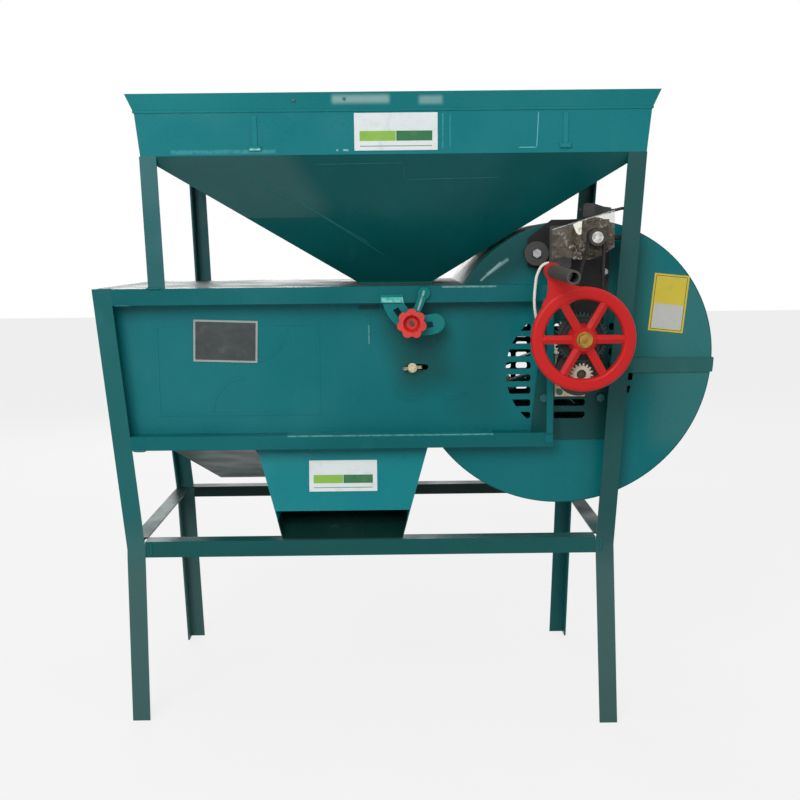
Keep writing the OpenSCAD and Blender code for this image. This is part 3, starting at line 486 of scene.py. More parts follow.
def striped_label(x: float, z: float, width: float, height: float) -> tuple[Patch, ...]:
    """Plain stripes across the lower part of a white label.

    Args:
        x: middle of the label across the machine.
        z: middle of the label's height.
        width: the label's width.
        height: the label's height.

    Returns:
        A pale green stripe, a dark green stripe and a thin grey line below them.
    """
    stripe = 0.26 * height
    level = z - 0.1 * height
    return (
        Patch(x - 0.22 * width, level, 0.43 * width, stripe, STRIPE_LIGHT),
        Patch(x + 0.22 * width, level, 0.43 * width, stripe, STRIPE_DARK),
        Patch(x, z - 0.37 * height, 0.86 * width, 0.02 * height, LINE_GREY),
    )


class Finish(Enum):
    """The finishes that the machine's pieces take."""

    TEAL = Paint("look_teal_paint", TEAL_COLOR, TEAL_PALE)
    # Greyer than the panel paint, with a paler grey foot zone: painted sheen on the legs.
    LEG = Paint("look_leg_sheen_paint", srgb(16, 92, 94), srgb(40, 104, 106), 0.36, light_and_shade=(
        Patch(-470, 110, 300, 300, srgb(66, 100, 98), 0, 160, 0.9, 400.0),))
    POST = Paint("look_post_paint", srgb(38, 94, 97), srgb(66, 110, 113), 0.38)
    # Darker than the other legs as painted shade, with a paler grey foot zone as painted sheen.
    LEG_RIGHT = Paint("look_right_leg_shaded_paint", srgb(24, 74, 73), srgb(40, 82, 81), 0.4, light_and_shade=(
        Patch(360, 130, 160, 240, srgb(64, 96, 94), 0, 120, 0.9),))
    STRAP = Paint("look_strap_paint", srgb(36, 92, 90), srgb(54, 104, 102), 0.32)
    # Brighter than the panel paint as painted light, with two painted glints along the rim.
    RIM = Paint("look_rim_lit_paint", srgb(10, 116, 120), srgb(34, 128, 132), 0.28, light_and_shade=(
        Patch(-72, 1080, 84, 3, GLARE, 0, 9, 0.75, -122.0),
        Patch(42, 1078, 30, 4, GLARE, 0, 8, 0.6, -122.0),
    ))
    # Brighter than the panel paint as painted light; a painted highlight along its lower edge, two painted
    # glints and two lit crease lines.
    BAND = Paint("look_band_lit_paint", srgb(6, 112, 118), srgb(26, 120, 126), 0.3, highlights_and_scuffs=(
        Patch(-300, 999, 170, 3, SHINE, 0, 3, 0.3),
        Patch(-112, 1000, 2, 2, GLARE, 0, 1, 0.9),
        Patch(-98, 1000, 8, 2, GLARE, 0, 1, 0.9),
        Patch(62, 1030, 1, 54, SHINE, 0, 1, 0.35),
        Patch(74, 1030, 1, 50, SHINE, 0, 1, 0.25),
    ))
    # Darker than the panel paint as painted shade, with paler zones of painted light on its left face and
    # near its throat.
    FUNNEL = Paint("look_funnel_shaded_paint", srgb(0, 76, 77), srgb(16, 88, 88), 0.3, light_and_shade=(
        Patch(-290, 930, 190, 170, srgb(50, 92, 92), -33, 46, 0.8),
        Patch(-40, 800, 150, 24, srgb(34, 96, 94), 0, 26, 0.8),
    ))
    # Brighter than the panel paint as painted light, with a painted highlight on the clip's foot.
    CLIP = Paint("look_clip_lit_paint", srgb(8, 116, 122), srgb(30, 130, 136), 0.3, highlights_and_scuffs=(
        Patch(-247, 1001, 40, 4, srgb(150, 216, 220), 0, 1, 0.9),
    ))
    # Patches of painted light and shade: a lit left part, painted shade below the gate knob, in a soft
    # stripe, on the drum's top and middle and under the top rail, a paler right part of the drum as painted
    # sheen, and painted glare streaks.
    PANEL = Paint("look_panel_paint", srgb(0, 102, 107), srgb(18, 114, 119), 0.3, light_and_shade=(
        Patch(-380, 640, 190, 180, srgb(22, 112, 118), 0, 60, 0.7),
        Patch(20, 670, 40, 90, SHADE, -14, 56, 0.7),
        Patch(124, 640, 10, 130, SHADE, 4, 70, 0.3),
        Patch(170, 840, 210, 60, srgb(14, 58, 58), -22, 50, 0.8),
        Patch(360, 720, 70, 190, srgb(30, 84, 80), 0, 60, 0.6),
        Patch(480, 640, 60, 240, srgb(62, 112, 110), 0, 50, 0.5),
        Patch(-64, 740, 34, 5, SHADE, 0, 3, 0.8),
        Patch(100, 808, 20, 2, GLARE, 20, 9, 0.5),
        Patch(144, 798, 44, 0.6, GLARE, -42, 2.5, 0.6),
        Patch(156, 806, 40, 0.6, GLARE, -36, 4, 0.5),
    ), highlights_and_scuffs=(
        # Pale streaks, partly scuffs and partly painted glare.
        Patch(-65, 693, 1.6, 32, PALE_STREAK, 0, 0.8, 0.6),
        Patch(-178, 472, 16, 3, PALE_STREAK, 12, 2.0, 0.8),
        Patch(84, 800, 5, 34, PALE_STREAK, 14, 4, 0.6),
    ))
    # Painted highlights along the top rail and along the bottom rail's upper edge.
    RAIL = Paint("look_rail_paint", srgb(0, 90, 94), srgb(14, 104, 108), 0.3, highlights_and_scuffs=(
        Patch(105, 774, 90, 2, GLARE, 0, 1, 0.5),
        Patch(-30, 522.5, 350, 1, SHINE, 0, 1.6, 0.55),
    ))
    # Darker than the panel paint as painted shade, and darker still towards the rear as painted shade.
    CROSSBAR = Paint("look_crossbar_shaded_paint", srgb(12, 78, 77), srgb(26, 88, 87), 0.36, shade_from_y=200.0,
                     shade_color=srgb(12, 42, 40))
    # Brighter than the panel paint as painted light, with a painted shade strip low on its front and painted
    # shade inside its mouth.
    CHUTE = Paint("look_chute_lit_paint", srgb(10, 122, 128), srgb(30, 134, 140), 0.3, light_and_shade=(
        Patch(-113, 355, 320, 36, srgb(12, 46, 42), 0, 2),), shade_from_y=-60.0, shade_color=srgb(10, 42, 39))
    # Dark teal: painted shade on the chute under the tunnel.
    LIGHT_CHUTE = Paint("look_light_chute_shaded_paint", srgb(2, 58, 54), srgb(14, 66, 62), 0.42)
    # Grey in place of teal: painted glare over the tunnel's top sheet.
    TOP_SHEET = Paint("look_top_sheet_glare_paint", srgb(58, 76, 73), srgb(84, 92, 88), 0.42)
    # Darker than the panel paint as painted shade on the drum's wrap.
    WRAP = Paint("look_wrap_shaded_paint", srgb(6, 78, 78), srgb(22, 88, 88), 0.34)
    # Painted highlights on the quadrant's top tab and along the lever.
    GATE = Paint("look_gate_paint", srgb(6, 110, 110), srgb(26, 120, 120), 0.3, highlights_and_scuffs=(
        Patch(-23, 753, 38, 7, srgb(120, 206, 200), 0, 1.5, 0.9),
        Patch(24, 752, 2, 34, GLARE, 18, 1, 0.8),
    ))
    # Darker than the panel paint, partly as painted shade on the mounting plate; its olive patch below the
    # motor is painted shade with a painted reflection of the film.
    DARK_TEAL = Paint("look_dark_teal_paint", srgb(12, 68, 68), srgb(26, 78, 78), light_and_shade=(
        Patch(308, 776, 84, 66, srgb(46, 56, 44), 0, 14, 0.9),))
    RED = Paint("look_red_paint", srgb(190, 30, 30), srgb(200, 44, 42), 0.3,
                Relief(420.0, 2.0, 0.0002), NO_RELIEF)
    RED_PLASTIC = Plastic("look_red_plastic", srgb(196, 36, 33), 0.32)
    BLACK_PAINT = Paint("look_black_paint", srgb(24, 24, 24), srgb(38, 38, 37), 0.4,
                        Relief(420.0, 2.0, 0.0006), NO_RELIEF)
    BLACK_PLASTIC = Plastic("look_black_plastic", srgb(38, 37, 36), 0.55)
    GRIP = Plastic("look_grip_plastic", srgb(62, 58, 54), 0.6, Relief(1200.0, 2.0, 0.0008))
    RUBBER = Plastic("look_rubber", srgb(30, 30, 30), 0.7, Relief(1200.0, 2.0, 0.0008), 0.3)
    LEAD = Plastic("look_lead_sheath", srgb(26, 26, 27), 0.5, Relief(1200.0, 2.0, 0.0002), 0.4)
    WHITE_PLASTIC = Plastic("look_white_plastic", srgb(222, 220, 208), 0.45)
    WHITE_LABEL = Print("look_white_label", srgb(214, 221, 222), (
        *striped_label(-15, 1028, 137, 60), *striped_label(-113, 448, 118, 54)))
    RATING_PLATE = Print("look_rating_plate", srgb(150, 156, 152), (
        Patch(-311, 684, 103, 65, srgb(44, 52, 52), 2),))
    YELLOW_STICKER = Print("look_yellow_sticker", STICKER_YELLOW, (
        Patch(449, 741, 54, 92, srgb(52, 50, 34), 6, 0.2),
        Patch(449, 741, 52, 90, STICKER_YELLOW, 6, 0.2),
        Patch(447, 718, 50, 42, srgb(180, 181, 176), 6, 0.2)))
    STEEL = Metal("look_steel", srgb(176, 176, 174), srgb(140, 138, 132), 0.34)
    ZINC = Metal("look_zinc_steel", srgb(188, 178, 150), srgb(160, 140, 104), 0.4, metallic=0.8)
    BRASS = Metal("look_brass", srgb(158, 124, 62), srgb(104, 78, 40), 0.38)
    IRON = Metal("look_grey_iron", srgb(30, 50, 49), srgb(44, 50, 46), 0.55, metallic=0.3)
    ROTOR = Metal("look_rotor_steel", srgb(196, 194, 188), srgb(50, 48, 45), 0.4, boss=(308.0, 853.0, 9.0),
                  stains=Mottle(120.0, 5.0, 0.4, 0.7, 0.0, 0.5),
                  sheen=Mottle(200.0, 3.0, 0.3, 0.7, -0.1, 0.1), scratches=Relief(700.0, 2.0, 0.0006))
    PLUG = Plastic("look_plug", srgb(15, 15, 16), 0.5, Relief(1400.0, 2.0, 0.0005), 0.5,
                   Mottle(60.0, 4.0, 0.4, 0.75, 0.0, 0.4), Mottle(90.0, 3.0, 0.3, 0.7, -0.1, 0.1), -96.4)
    SCREW = Metal("look_dark_screw", srgb(70, 96, 98), srgb(50, 70, 70), 0.45, metallic=0.5)
    BOLTS = Metal("look_bolts", srgb(150, 152, 156), srgb(110, 108, 104), 0.4, painted=(
        Patch(280, 580, 200, 40, srgb(20, 84, 84), 0, 2),))
    DARK_STEEL = Metal("look_dark_steel", srgb(84, 74, 62), srgb(50, 44, 38), 0.5)
    BEIGE_PLASTIC = Plastic("look_beige_plastic", srgb(196, 190, 172), 0.5)
    # Paler than the funnel paint: painted highlights on the fold lines.
    FUNNEL_EDGE = Paint("look_fold_highlight_paint", srgb(26, 100, 100), srgb(50, 112, 112), 0.3)
    # Near white: painted highlight on the band's lap edge.
    BRIGHT_EDGE = Paint("look_highlit_edge_paint", srgb(90, 176, 180), srgb(120, 196, 198), 0.3)
    FILM_EDGE = Film("look_film_edge", srgb(150, 156, 152), 0.8)
    FILM = Film("look_clear_film", srgb(110, 96, 74), 0.34)

    def material(self) -> bpy.types.Material:
        """The finish's material, made once."""
        return bpy.data.materials.get(self.value.name) or self.value.material()


def link_object(name: str, data: bpy.types.ID) -> bpy.types.Object:
    """New object of a mesh, curve, camera or lamp, linked to the scene."""
    obj = bpy.data.objects.new(name, data)
    bpy.context.scene.collection.objects.link(obj)
    return obj


class Shape:
    """Collects the faces of one mesh piece, in the row's frame and in metres."""

    def __init__(self) -> None:
        """Starts with no faces."""
        self.points: list[Vector] = []
        self.faces: list[tuple[int, ...]] = []

    def grid(self, rows: list[list[Vector]], closed: bool = False, capped: bool = False) -> None:
        """Adds a skin over rows of points.

        Args:
            rows: rows of equal length.
            closed: whether each row is a ring.
            capped: whether the first and last rings are filled.
        """
        base = len(self.points)
        count = len(rows[0])
        for row in rows:
            self.points.extend(row)
        for i in range(len(rows) - 1):
            for k in range(count if closed else count - 1):
                a = base + i * count + k
                b = base + i * count + (k + 1) % count
                self.faces.append((a, b, b + count, a + count))
        if capped:
            self.faces.append(tuple(base + k for k in reversed(range(count))))
            last = base + (len(rows) - 1) * count
            self.faces.append(tuple(last + k for k in range(count)))

    def tube(self, line: list[Vector], radii: list[float], sides: int) -> None:
        """Adds a round tube along a line.

        Args:
            line: points of the centreline.
            radii: the radius at each point.
            sides: points in each ring.
        """
        rows = []
        across = Vector((0, 0, 1))
        for i, point in enumerate(line):
            along = (line[min(i + 1, len(line) - 1)] - line[max(i - 1, 0)]).normalized()
            if i == 0:
                across = along.orthogonal().normalized()
            across = (across - along * across.dot(along)).normalized()
            up = along.cross(across)
            turns = [2 * math.pi * k / sides for k in range(sides)]
            rows.append([point + radii[i] * (math.cos(t) * across + math.sin(t) * up) for t in turns])
        self.grid(rows, closed=True, capped=True)

    def piece(self, name: str, finish: Finish, body: str, slot: str) -> bpy.types.Object:
        """Makes the mesh, dresses it and lets it ride on a body.

        Args:
            name: the piece's name.
            finish: what it is finished with.
            body: the body that it moves with.
            slot: not used.

        Returns:
            The new object.
        """
        mesh = bpy.data.meshes.new(name)
        mesh.from_pydata([tuple(p) for p in self.points], [], self.faces)
        tidy = bmesh.new()
        tidy.from_mesh(mesh)
        bmesh.ops.recalc_face_normals(tidy, faces=tidy.faces)
        tidy.to_mesh(mesh)
        tidy.free()
        mesh.shade_smooth()
        mesh.set_sharp_from_angle(angle=SHARP_ANGLE)
        mesh.materials.append(finish.material())
        obj = link_object(name, mesh)
        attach(obj, body)
        log.info("%s: %d faces", name, len(self.faces))
        return obj


def smooth_route(points: list[Vector], steps: int = 4) -> list[Vector]:
    """Even curve through given points.

    Args:
        points: the points.
        steps: how many parts each stretch between two of them gets.

    Returns:
        The curve's points.
    """
    line = []
    for i in range(len(points) - 1):
        before = points[max(i - 1, 0)]
        start, end = points[i], points[i + 1]
        after = points[min(i + 2, len(points) - 1)]
        for k in range(steps):
            t = k / steps
            line.append(0.5 * (
                2 * start + (end - before) * t
                + (2 * before - 5 * start + 4 * end - after) * t * t
                + (3 * start - before - 3 * end + after) * t * t * t
            ))
    line.append(points[-1])
    return line


def cord_curve(name: str, line: list[Vector], radius: float, finish: Finish) -> bpy.types.Object:
    """Makes a round cord along a line, which rides on the frame.

    Args:
        name: the cord's name.
        line: its centreline, in metres.
        radius: its radius in metres.
        finish: what its sheath is made of.

    Returns:
        The curve object.
    """
    curve = bpy.data.curves.new(name, "CURVE")
    curve.dimensions = "3D"
    spline = curve.splines.new("POLY")
    spline.points.add(len(line) - 1)
    for point, place in zip(spline.points, line):
        point.co = (*place, 1.0)
    curve.bevel_depth = radius
    curve.bevel_resolution = CORD_RESOLUTION
    curve.use_fill_caps = True
    curve.materials.append(finish.material())
    obj = link_object(name, curve)
    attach(obj, "frame")
    log.info("%s: %.3f m long", name, sum((b - a).length for a, b in zip(line, line[1:])))
    return obj


@dataclass(frozen=True)
class MainsLead:
    """The motor's lead, its spare length folded in a hank, and its plug, in millimetres."""

    radius: float = 2.5
    length: float = 1.34
    gland_route: tuple[Point, ...] = (
        (53, 24, 0), (59, 24, 0), (65, 24, -0.5), (70, 24, -2.5), (73, 24, -6), (74.5, 24, -11),
        (74.5, 24, -16),
    )
    plug_route: tuple[Point, ...] = (
        (59, 4, -16), (59.5, 4, -6), (61, 4.5, 4), (63.5, 6, 14), (65.5, 9, 23), (66, 13, 32),
        (65, 17.5, 39.5), (61, 21, 45), (54.5, 23, 48), (47, 24, 46.5), (40, 24, 45), (36, 24, 45),
        (31, 24, 45),
    )
    turns: int = 5
    run: float = 100.0
    run_marks: tuple[float, ...] = (-40.0, -60.0, -80.0)
    entry: float = -12.0
    fold: float = 7.75
    bend_steps: int = 8
    pitch: float = 5.05
    hank_x: float = 66.86
    hank_z: float = -14.0
    near: float = 4.0
    lean: float = math.radians(3.86)
    crossover: float = 20.0
    tie_up: float = -50.0
    tie_corner: float = 2.4
    tie_corner_steps: int = 5
    tie_band: tuple[Pair, ...] = (
        (0.15, -2.5), (1.0, -2.3), (1.15, -1.5), (1.15, 1.5), (1.0, 2.3), (0.15, 2.5),
    )
    tie_head: tuple[Pair, ...] = ((1.0, 2.2), (2.6, 2.6), (3.2, 2.0))
    tie_head_extra: float = 0.8

    def local(self, across: float, up: float, out: float) -> Vector:
        """Row point of a place in the hank, which leans with the post beside it.

        Args:
            across: distance to the right of the hank's middle.
            up: height above the middle of its upper bends.
            out: distance ahead of the front side sheet.

        Returns:
            The point in metres.
        """
        x = self.hank_x + across * math.cos(self.lean) + up * math.sin(self.lean)
        z = self.hank_z - across * math.sin(self.lean) + up * math.cos(self.lean)
        return DATUM.from_motor((x, out, z))

    def bend(self, angle: float, up: float, out: float) -> Vector:
        """Row point at an angle on a bend whose middle is at a height."""
        return self.local(self.fold * math.cos(angle), up + self.fold * math.sin(angle), out)

    def layer(self, turn: int) -> float:
        """Distance ahead of a turn; the last turn is the nearest to the sheet."""
        return self.near + self.pitch * (self.turns - 1 - turn)

    def hank(self) -> list[Vector]:
        """Line of the hank's turns, from the right run of the first to the left run of the last.

        Returns:
            The line's points.
        """
        line = []
        arc = math.pi * self.fold
        whole = arc + 2 * self.crossover
        step_half = self.pitch * self.crossover / 2 / whole
        bends = [(k / self.bend_steps, math.pi * k / self.bend_steps) for k in range(self.bend_steps + 1)]
        for turn in range(self.turns):
            out = self.layer(turn)
            top = -self.crossover if turn else self.entry
            line += [self.local(self.fold, up, out) for up in (top, *self.run_marks)]
            line += [self.bend(-angle, -self.run, out) for _, angle in bends]
            line += [self.local(-self.fold, up, out) for up in (*reversed(self.run_marks), -self.crossover)]
            if turn < self.turns - 1:
                line.append(self.local(-self.fold, -self.crossover / 2, out - step_half))
                for part, angle in bends:
                    share = (self.crossover + arc * part) / whole
                    line.append(self.bend(math.pi - angle, 0.0, out - self.pitch * share))
                line.append(self.local(self.fold, -self.crossover / 2, out - self.pitch + step_half))
        return line

    def girth(self) -> tuple[float, float, float]:
        """Half width, half depth and middle distance ahead of the hank's section."""
        half_span = self.pitch * (self.turns - 1) / 2
        return self.fold + self.radius, half_span + self.radius, self.near + half_span

    def ring(self, gap: float, up: float) -> list[Vector]:
        """Rounded outline round the hank.

        Args:
            gap: distance from the hank's outside.
            up: height in the hank.

        Returns:
            The outline's points.
        """
        half_width, half_depth, middle = self.girth()
        corner = self.tie_corner + gap
        outline = []
        for side, front, start in ((1, 1, 0), (-1, 1, 90), (-1, -1, 180), (1, -1, 270)):
            for k in range(self.tie_corner_steps + 1):
                turn = math.radians(start + 90 * k / self.tie_corner_steps)
                outline.append(self.local(
                    side * (half_width + gap - corner) + corner * math.cos(turn), up,
                    middle + front * (half_depth + gap - corner) + corner * math.sin(turn)))
        return outline

    def tie(self) -> bpy.types.Object:
        """Makes the thin strap with its head that holds the hank.

        Returns:
            The strap.
        """
        half_width, _, middle = self.girth()
        shape = Shape()
        loops = [self.ring(gap, self.tie_up + up) for gap, up in self.tie_band]
        shape.grid(loops + [loops[0]], closed=True)
        rows = []
        for out, half in self.tie_head:
            tall = half + self.tie_head_extra
            corners = ((-half, -tall), (half, -tall), (half, tall), (-half, tall))
            rows.append([self.local(-half_width - out, self.tie_up + v, middle + a) for a, v in corners])
        shape.grid(rows, closed=True, capped=True)
        return shape.piece("hank_tie", Finish.LEAD, "frame", "black_plastic")

    def build(self) -> None:
        route = [DATUM.from_motor(p) for p in self.gland_route]
        start = smooth_route([*route, self.local(self.fold, self.entry, self.layer(0))])
        end = smooth_route([DATUM.from_motor(p) for p in self.plug_route])
        line = start[:-1] + self.hank() + end
        lead = cord_curve("motor_lead", line, self.radius / 1000, Finish.LEAD)
        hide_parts("mains_lead", "mains_hank")
        self.tie()


@dataclass(frozen=True)
class SwitchLead:
    """White lead from the switch box to the connector on the bracket, in millimetres."""

    radius: float = 2.5
    length: float = 0.17
    route: tuple[Point, ...] = (
        (-71, 45, -41), (-77, 45, -42), (-83, 45, -46), (-88, 45, -54), (-92, 45, -66), (-94, 45, -84),
        (-95, 45, -102), (-94, 44, -118), (-91, 40, -132), (-87, 33, -144), (-82, 26, -154),
        (-76, 21.5, -164), (-70, 20, -172), (-64, 20, -177), (-60, 20, -178), (-56, 20, -178),
    )

    def build(self) -> None:
        line = smooth_route([DATUM.from_motor(p) for p in self.route])
        lead = cord_curve("switch_lead", line, self.radius / 1000, Finish.WHITE_PLASTIC)
        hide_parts("white_lead")


@dataclass(frozen=True)
class PhotoCamera:
    """The photographer's place and lens."""

    place: Point = (-0.021, -1.957, 0.839)
    focal_pixels: float = 1086.8
    image_pixels: int = 800
    pitch: float = 0.1388
    yaw: float = 0.0044
    roll: float = -0.0106
    sensor_mm: float = 36.0
    clip: Pair = (0.05, 60.0)

    def build(self) -> None:
        """Makes the scene's camera and sets the image size."""
        data = bpy.data.cameras.new("photo_camera")
        data.sensor_width = self.sensor_mm
        data.lens = self.focal_pixels * self.sensor_mm / self.image_pixels
        data.clip_start, data.clip_end = self.clip
        camera = link_object("photo_camera", data)
        look = (
            Matrix.Rotation(self.roll, 3, "Z")
            @ Matrix.Rotation(math.pi / 2 + self.pitch, 3, "X")
            @ Matrix.Rotation(self.yaw, 3, "Z")
        )
        flip = Matrix(((1, 0, 0), (0, -1, 0), (0, 0, -1)))
        camera.matrix_world = Matrix.Translation(self.place) @ (flip @ look).transposed().to_4x4()
        scene = bpy.context.scene
        scene.camera = camera
        scene.render.resolution_x = self.image_pixels
        scene.render.resolution_y = self.image_pixels
        scene.render.resolution_percentage = 100
        scene.view_settings.view_transform = "Standard"


@dataclass(frozen=True)
class Studio:
    """White surround and pale floor with large soft lights."""

    ambient: float = 0.46
    floor_half: float = 12.0
    floor_albedo: float = 0.6
    floor_dip: float = 0.96
    floor_white: float = 0.8
    floor_cloud: Mottle = Mottle(3.0, 3.0, 0.3, 0.7, 0.0, 1.0)
    lamps: tuple[tuple[str, Point, Point, float, float], ...] = (
        ("key_light", (-0.9, -2.7, 2.3), (0.0, 0.0, 0.8), 1.8, 66.0),
        ("fill_light", (2.2, -2.6, 1.2), (0.1, 0.0, 0.6), 2.0, 8.0),
        ("top_light", (0.2, 0.4, 3.0), (0.0, 0.0, 0.8), 2.6, 5.0),
        ("back_light", (-0.8, 3.0, 2.0), (0.0, 0.0, 0.6), 2.2, 34.0),
    )

    def build(self) -> None:
        """Makes the world, the floor and the lamps."""
        self._world()
        self._floor()
        for name, place, aim, size, power in self.lamps:
            self._lamp(name, place, aim, size, power)

    def _whiten(self, g: Graph, shader: Socket, kind: str, share: float = 1.0) -> None:
        """Shows plain white in place of a shader to camera, mirror and see-through rays.

        Args:
            g: graph that holds the shader.
            shader: what the other rays see.
            kind: type of the white node.
            share: part of the white, where 1 hides the shader and its shadows.
        """
        rays = g.node("LightPath").outputs
        seen = rays["Is Camera Ray"]
        for ray in ("Is Glossy Ray", "Is Transmission Ray"):
            seen = g.math("MAXIMUM", seen, rays[ray])
        white = g.node(kind, i0=WHITE, i1=1.0).outputs[0]
        g.show(g.node("MixShader", i0=g.math("MULTIPLY", seen, share), i1=shader, i2=white).outputs[0])

    def _world(self) -> None:
        """Sets an even pale surround that the camera sees as white."""
        g = Graph("studio_world", world=True)
        bpy.context.scene.world = g.owner
        self._whiten(g, g.node("Background", i0=WHITE, i1=self.ambient).outputs[0], "Background")

    def _floor(self) -> None:
        """Lays a plain pale floor, which keeps the machine's shadow."""
        g = Graph("floor_paper")
        pale = (self.floor_albedo,) * 3
        tone = g.mix(g.mottle(self.floor_cloud), pale, (self.floor_albedo * self.floor_dip,) * 3)
        self._whiten(g, g.node("BsdfDiffuse", Color=tone).outputs[0], "Emission", self.floor_white)
        mesh = bpy.data.meshes.new("floor")
        half = self.floor_half
        corners = [(-half, -half, 0), (half, -half, 0), (half, half, 0), (-half, half, 0)]
        mesh.from_pydata(corners, [], [(0, 1, 2, 3)])
        mesh.materials.append(g.owner)
        link_object("floor", mesh)

    def _lamp(self, name: str, place: Point, aim: Point, size: float, power: float) -> None:
        """Hangs a square softbox.

        Args:
            name: the lamp's name.
            place: where it hangs, in metres.
            aim: the place that it points at.
            size: length of its sides.
            power: its power in watts.
        """
        data = bpy.data.lights.new(name, "AREA")
        data.size = size
        data.energy = power
        lamp = link_object(name, data)
        lamp.location = place
        lamp.rotation_euler = (Vector(aim) - Vector(place)).to_track_quat("-Z", "Y").to_euler()


@dataclass(frozen=True)
class FrameDressing:
    """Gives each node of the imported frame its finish."""

    finishes: tuple[tuple[Finish, str], ...] = (
        (Finish.LEG, "leg_front_left leg_rear_left leg_rear_right outlet_bars"),
        (Finish.POST, "hopper_posts"),
        (Finish.LEG_RIGHT, "leg_front_right"),
        (Finish.RAIL, "top_rails bottom_rails"),
        (Finish.CROSSBAR, "crossbars"),
        (Finish.RIM, "hopper_rim"),
        (Finish.BAND, "hopper_band"),
        (Finish.CLIP, "hopper_clips"),
        (Finish.FUNNEL, "hopper_funnel"),
        (Finish.PANEL, "side_sheet_front side_sheet_rear"),
        (Finish.CHUTE, "grain_chute"),
        (Finish.LIGHT_CHUTE, "light_chute"),
        (Finish.TOP_SHEET, "tunnel_top"),
        (Finish.WRAP, "drum_wrap_upper drum_wrap_lower"),
        (Finish.STRAP, "drum_seam_strap"),
        (Finish.GATE, "gate_quadrant gate_lever"),
        (Finish.DARK_TEAL, "mounting_plate fan_spiders fan_blades"),
        (Finish.WHITE_LABEL, "label_blanks"),
        (Finish.RATING_PLATE, "rating_plate_blank"),
        (Finish.YELLOW_STICKER, "warning_sticker_blank"),
        (Finish.RED, "crank_wheel"),
        (Finish.RED_PLASTIC, "gate_knob"),
        (Finish.STEEL, "crank_axle grip_pin front_bearing rear_bearing"),
        (Finish.DARK_STEEL, "gate_stud fan_shaft"),
        (Finish.BOLTS, "fasteners"),
        (Finish.ROTOR, "motor_rotor"),
        (Finish.ZINC, "baffle_stud_nut crank_bracket"),
        (Finish.BRASS, "crank_nut"),
        (Finish.IRON, "crank_gear"),
        (Finish.GRIP, "crank_grip"),
        (Finish.BLACK_PLASTIC, "fan_pulley switch_box clamp_knob"),
        (Finish.PLUG, "mains_plug"),
        (Finish.BLACK_PAINT, "motor_bracket motor_body"),
        (Finish.RUBBER, "drive_belt"),
        (Finish.BEIGE_PLASTIC, "pinion"),
        (Finish.WHITE_PLASTIC, "lead_connector"),
    )

    def build(self) -> None:
        """Assigns the materials."""
        by_node = {node: finish for finish, nodes in self.finishes for node in nodes.split()}
        for name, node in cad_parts.items():
            node.data.materials.clear()
            node.data.materials.append(by_node.get(name, Finish.TEAL).material())
            log.info("%s dressed", name)


class Probe:
    """Finds points on a node's surface by looking along the depth from the front."""

    def __init__(self, node: str) -> None:
        """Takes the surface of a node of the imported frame.

        Args:
            node: the node's name.
        """
        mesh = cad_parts[node].data
        faces = [tuple(p.vertices) for p in mesh.polygons]
        self.tree = BVHTree.FromPolygons([v.co.copy() for v in mesh.vertices], faces)

    def at(self, x: float, z: float, lift: float) -> Vector:
        """Point on the front surface, lifted along its normal.

        Args:
            x: place across the machine, in millimetres.
            z: height.
            lift: distance off the surface.

        Returns:
            The point in metres.
        """
        hit, normal, _, _ = self.tree.ray_cast(Vector((x / 1000, -1.0, z / 1000)), Vector((0, 1, 0)))
        if normal.y > 0:
            normal = -normal
        return hit + normal * lift / 1000


@dataclass(frozen=True)
class SheetLines:
    """Folded and lapped edges that stand a little proud of the sheets, in millimetres."""

    radius: float = 0.9
    funnel_radius: float = 0.63
    lift: float = 0.1
    taper: float = 0.3
    steps: int = 8
    sides: int = 6
    funnel_lines: tuple[tuple[Pair, ...], ...] = (
        ((-150, 978), (-30, 979), (-4, 979)),
        ((-2, 980), (-2, 953)),
        ((2, 953), (160, 955)),
        ((-272, 972), (-190, 925), (-110, 874), (-36, 826)),
        ((-262, 955), (-150, 900), (-60, 846)),
    )
    band_lines: tuple[tuple[Pair, ...], ...] = (
        ((219, 1058), (218, 1030), (217, 1002)),
        ((217, 1001.5), (187, 1001.5)),
    )

    def _ridges(self, node: str, lines: tuple[tuple[Pair, ...], ...], radius: float) -> Shape:
        """Low ridges along lines on a node's surface.

        Args:
            node: the node's name.
            lines: places of each line's points.
            radius: the ridges' radius.

        Returns:
            The shape that holds them.
        """
        shape = Shape()
        probe = Probe(node)
        for line in lines:
            places = []
            for (x0, z0), (x1, z1) in zip(line, line[1:]):
                for k in range(self.steps):
                    t = k / self.steps
                    places.append(probe.at(x0 + (x1 - x0) * t, z0 + (z1 - z0) * t, self.lift))
            places.append(probe.at(*line[-1], self.lift))
            radii = [radius / 1000] * len(places)
            radii[0] = radii[-1] = self.taper * radius / 1000
            shape.tube(places, radii, self.sides)
        return shape

    def build(self) -> None:
        """Makes the ridges on the funnel and on the band."""
        # The funnel's fold lines and the band's lap edge take paler paint as painted highlights.
        funnel = self._ridges("hopper_funnel", self.funnel_lines, self.funnel_radius)
        funnel.piece("funnel_fold_lines", Finish.FUNNEL_EDGE, "frame", "teal_paint")
        band = self._ridges("hopper_band", self.band_lines, self.radius)
        band.piece("band_lap_edge", Finish.BRIGHT_EDGE, "frame", "teal_paint")


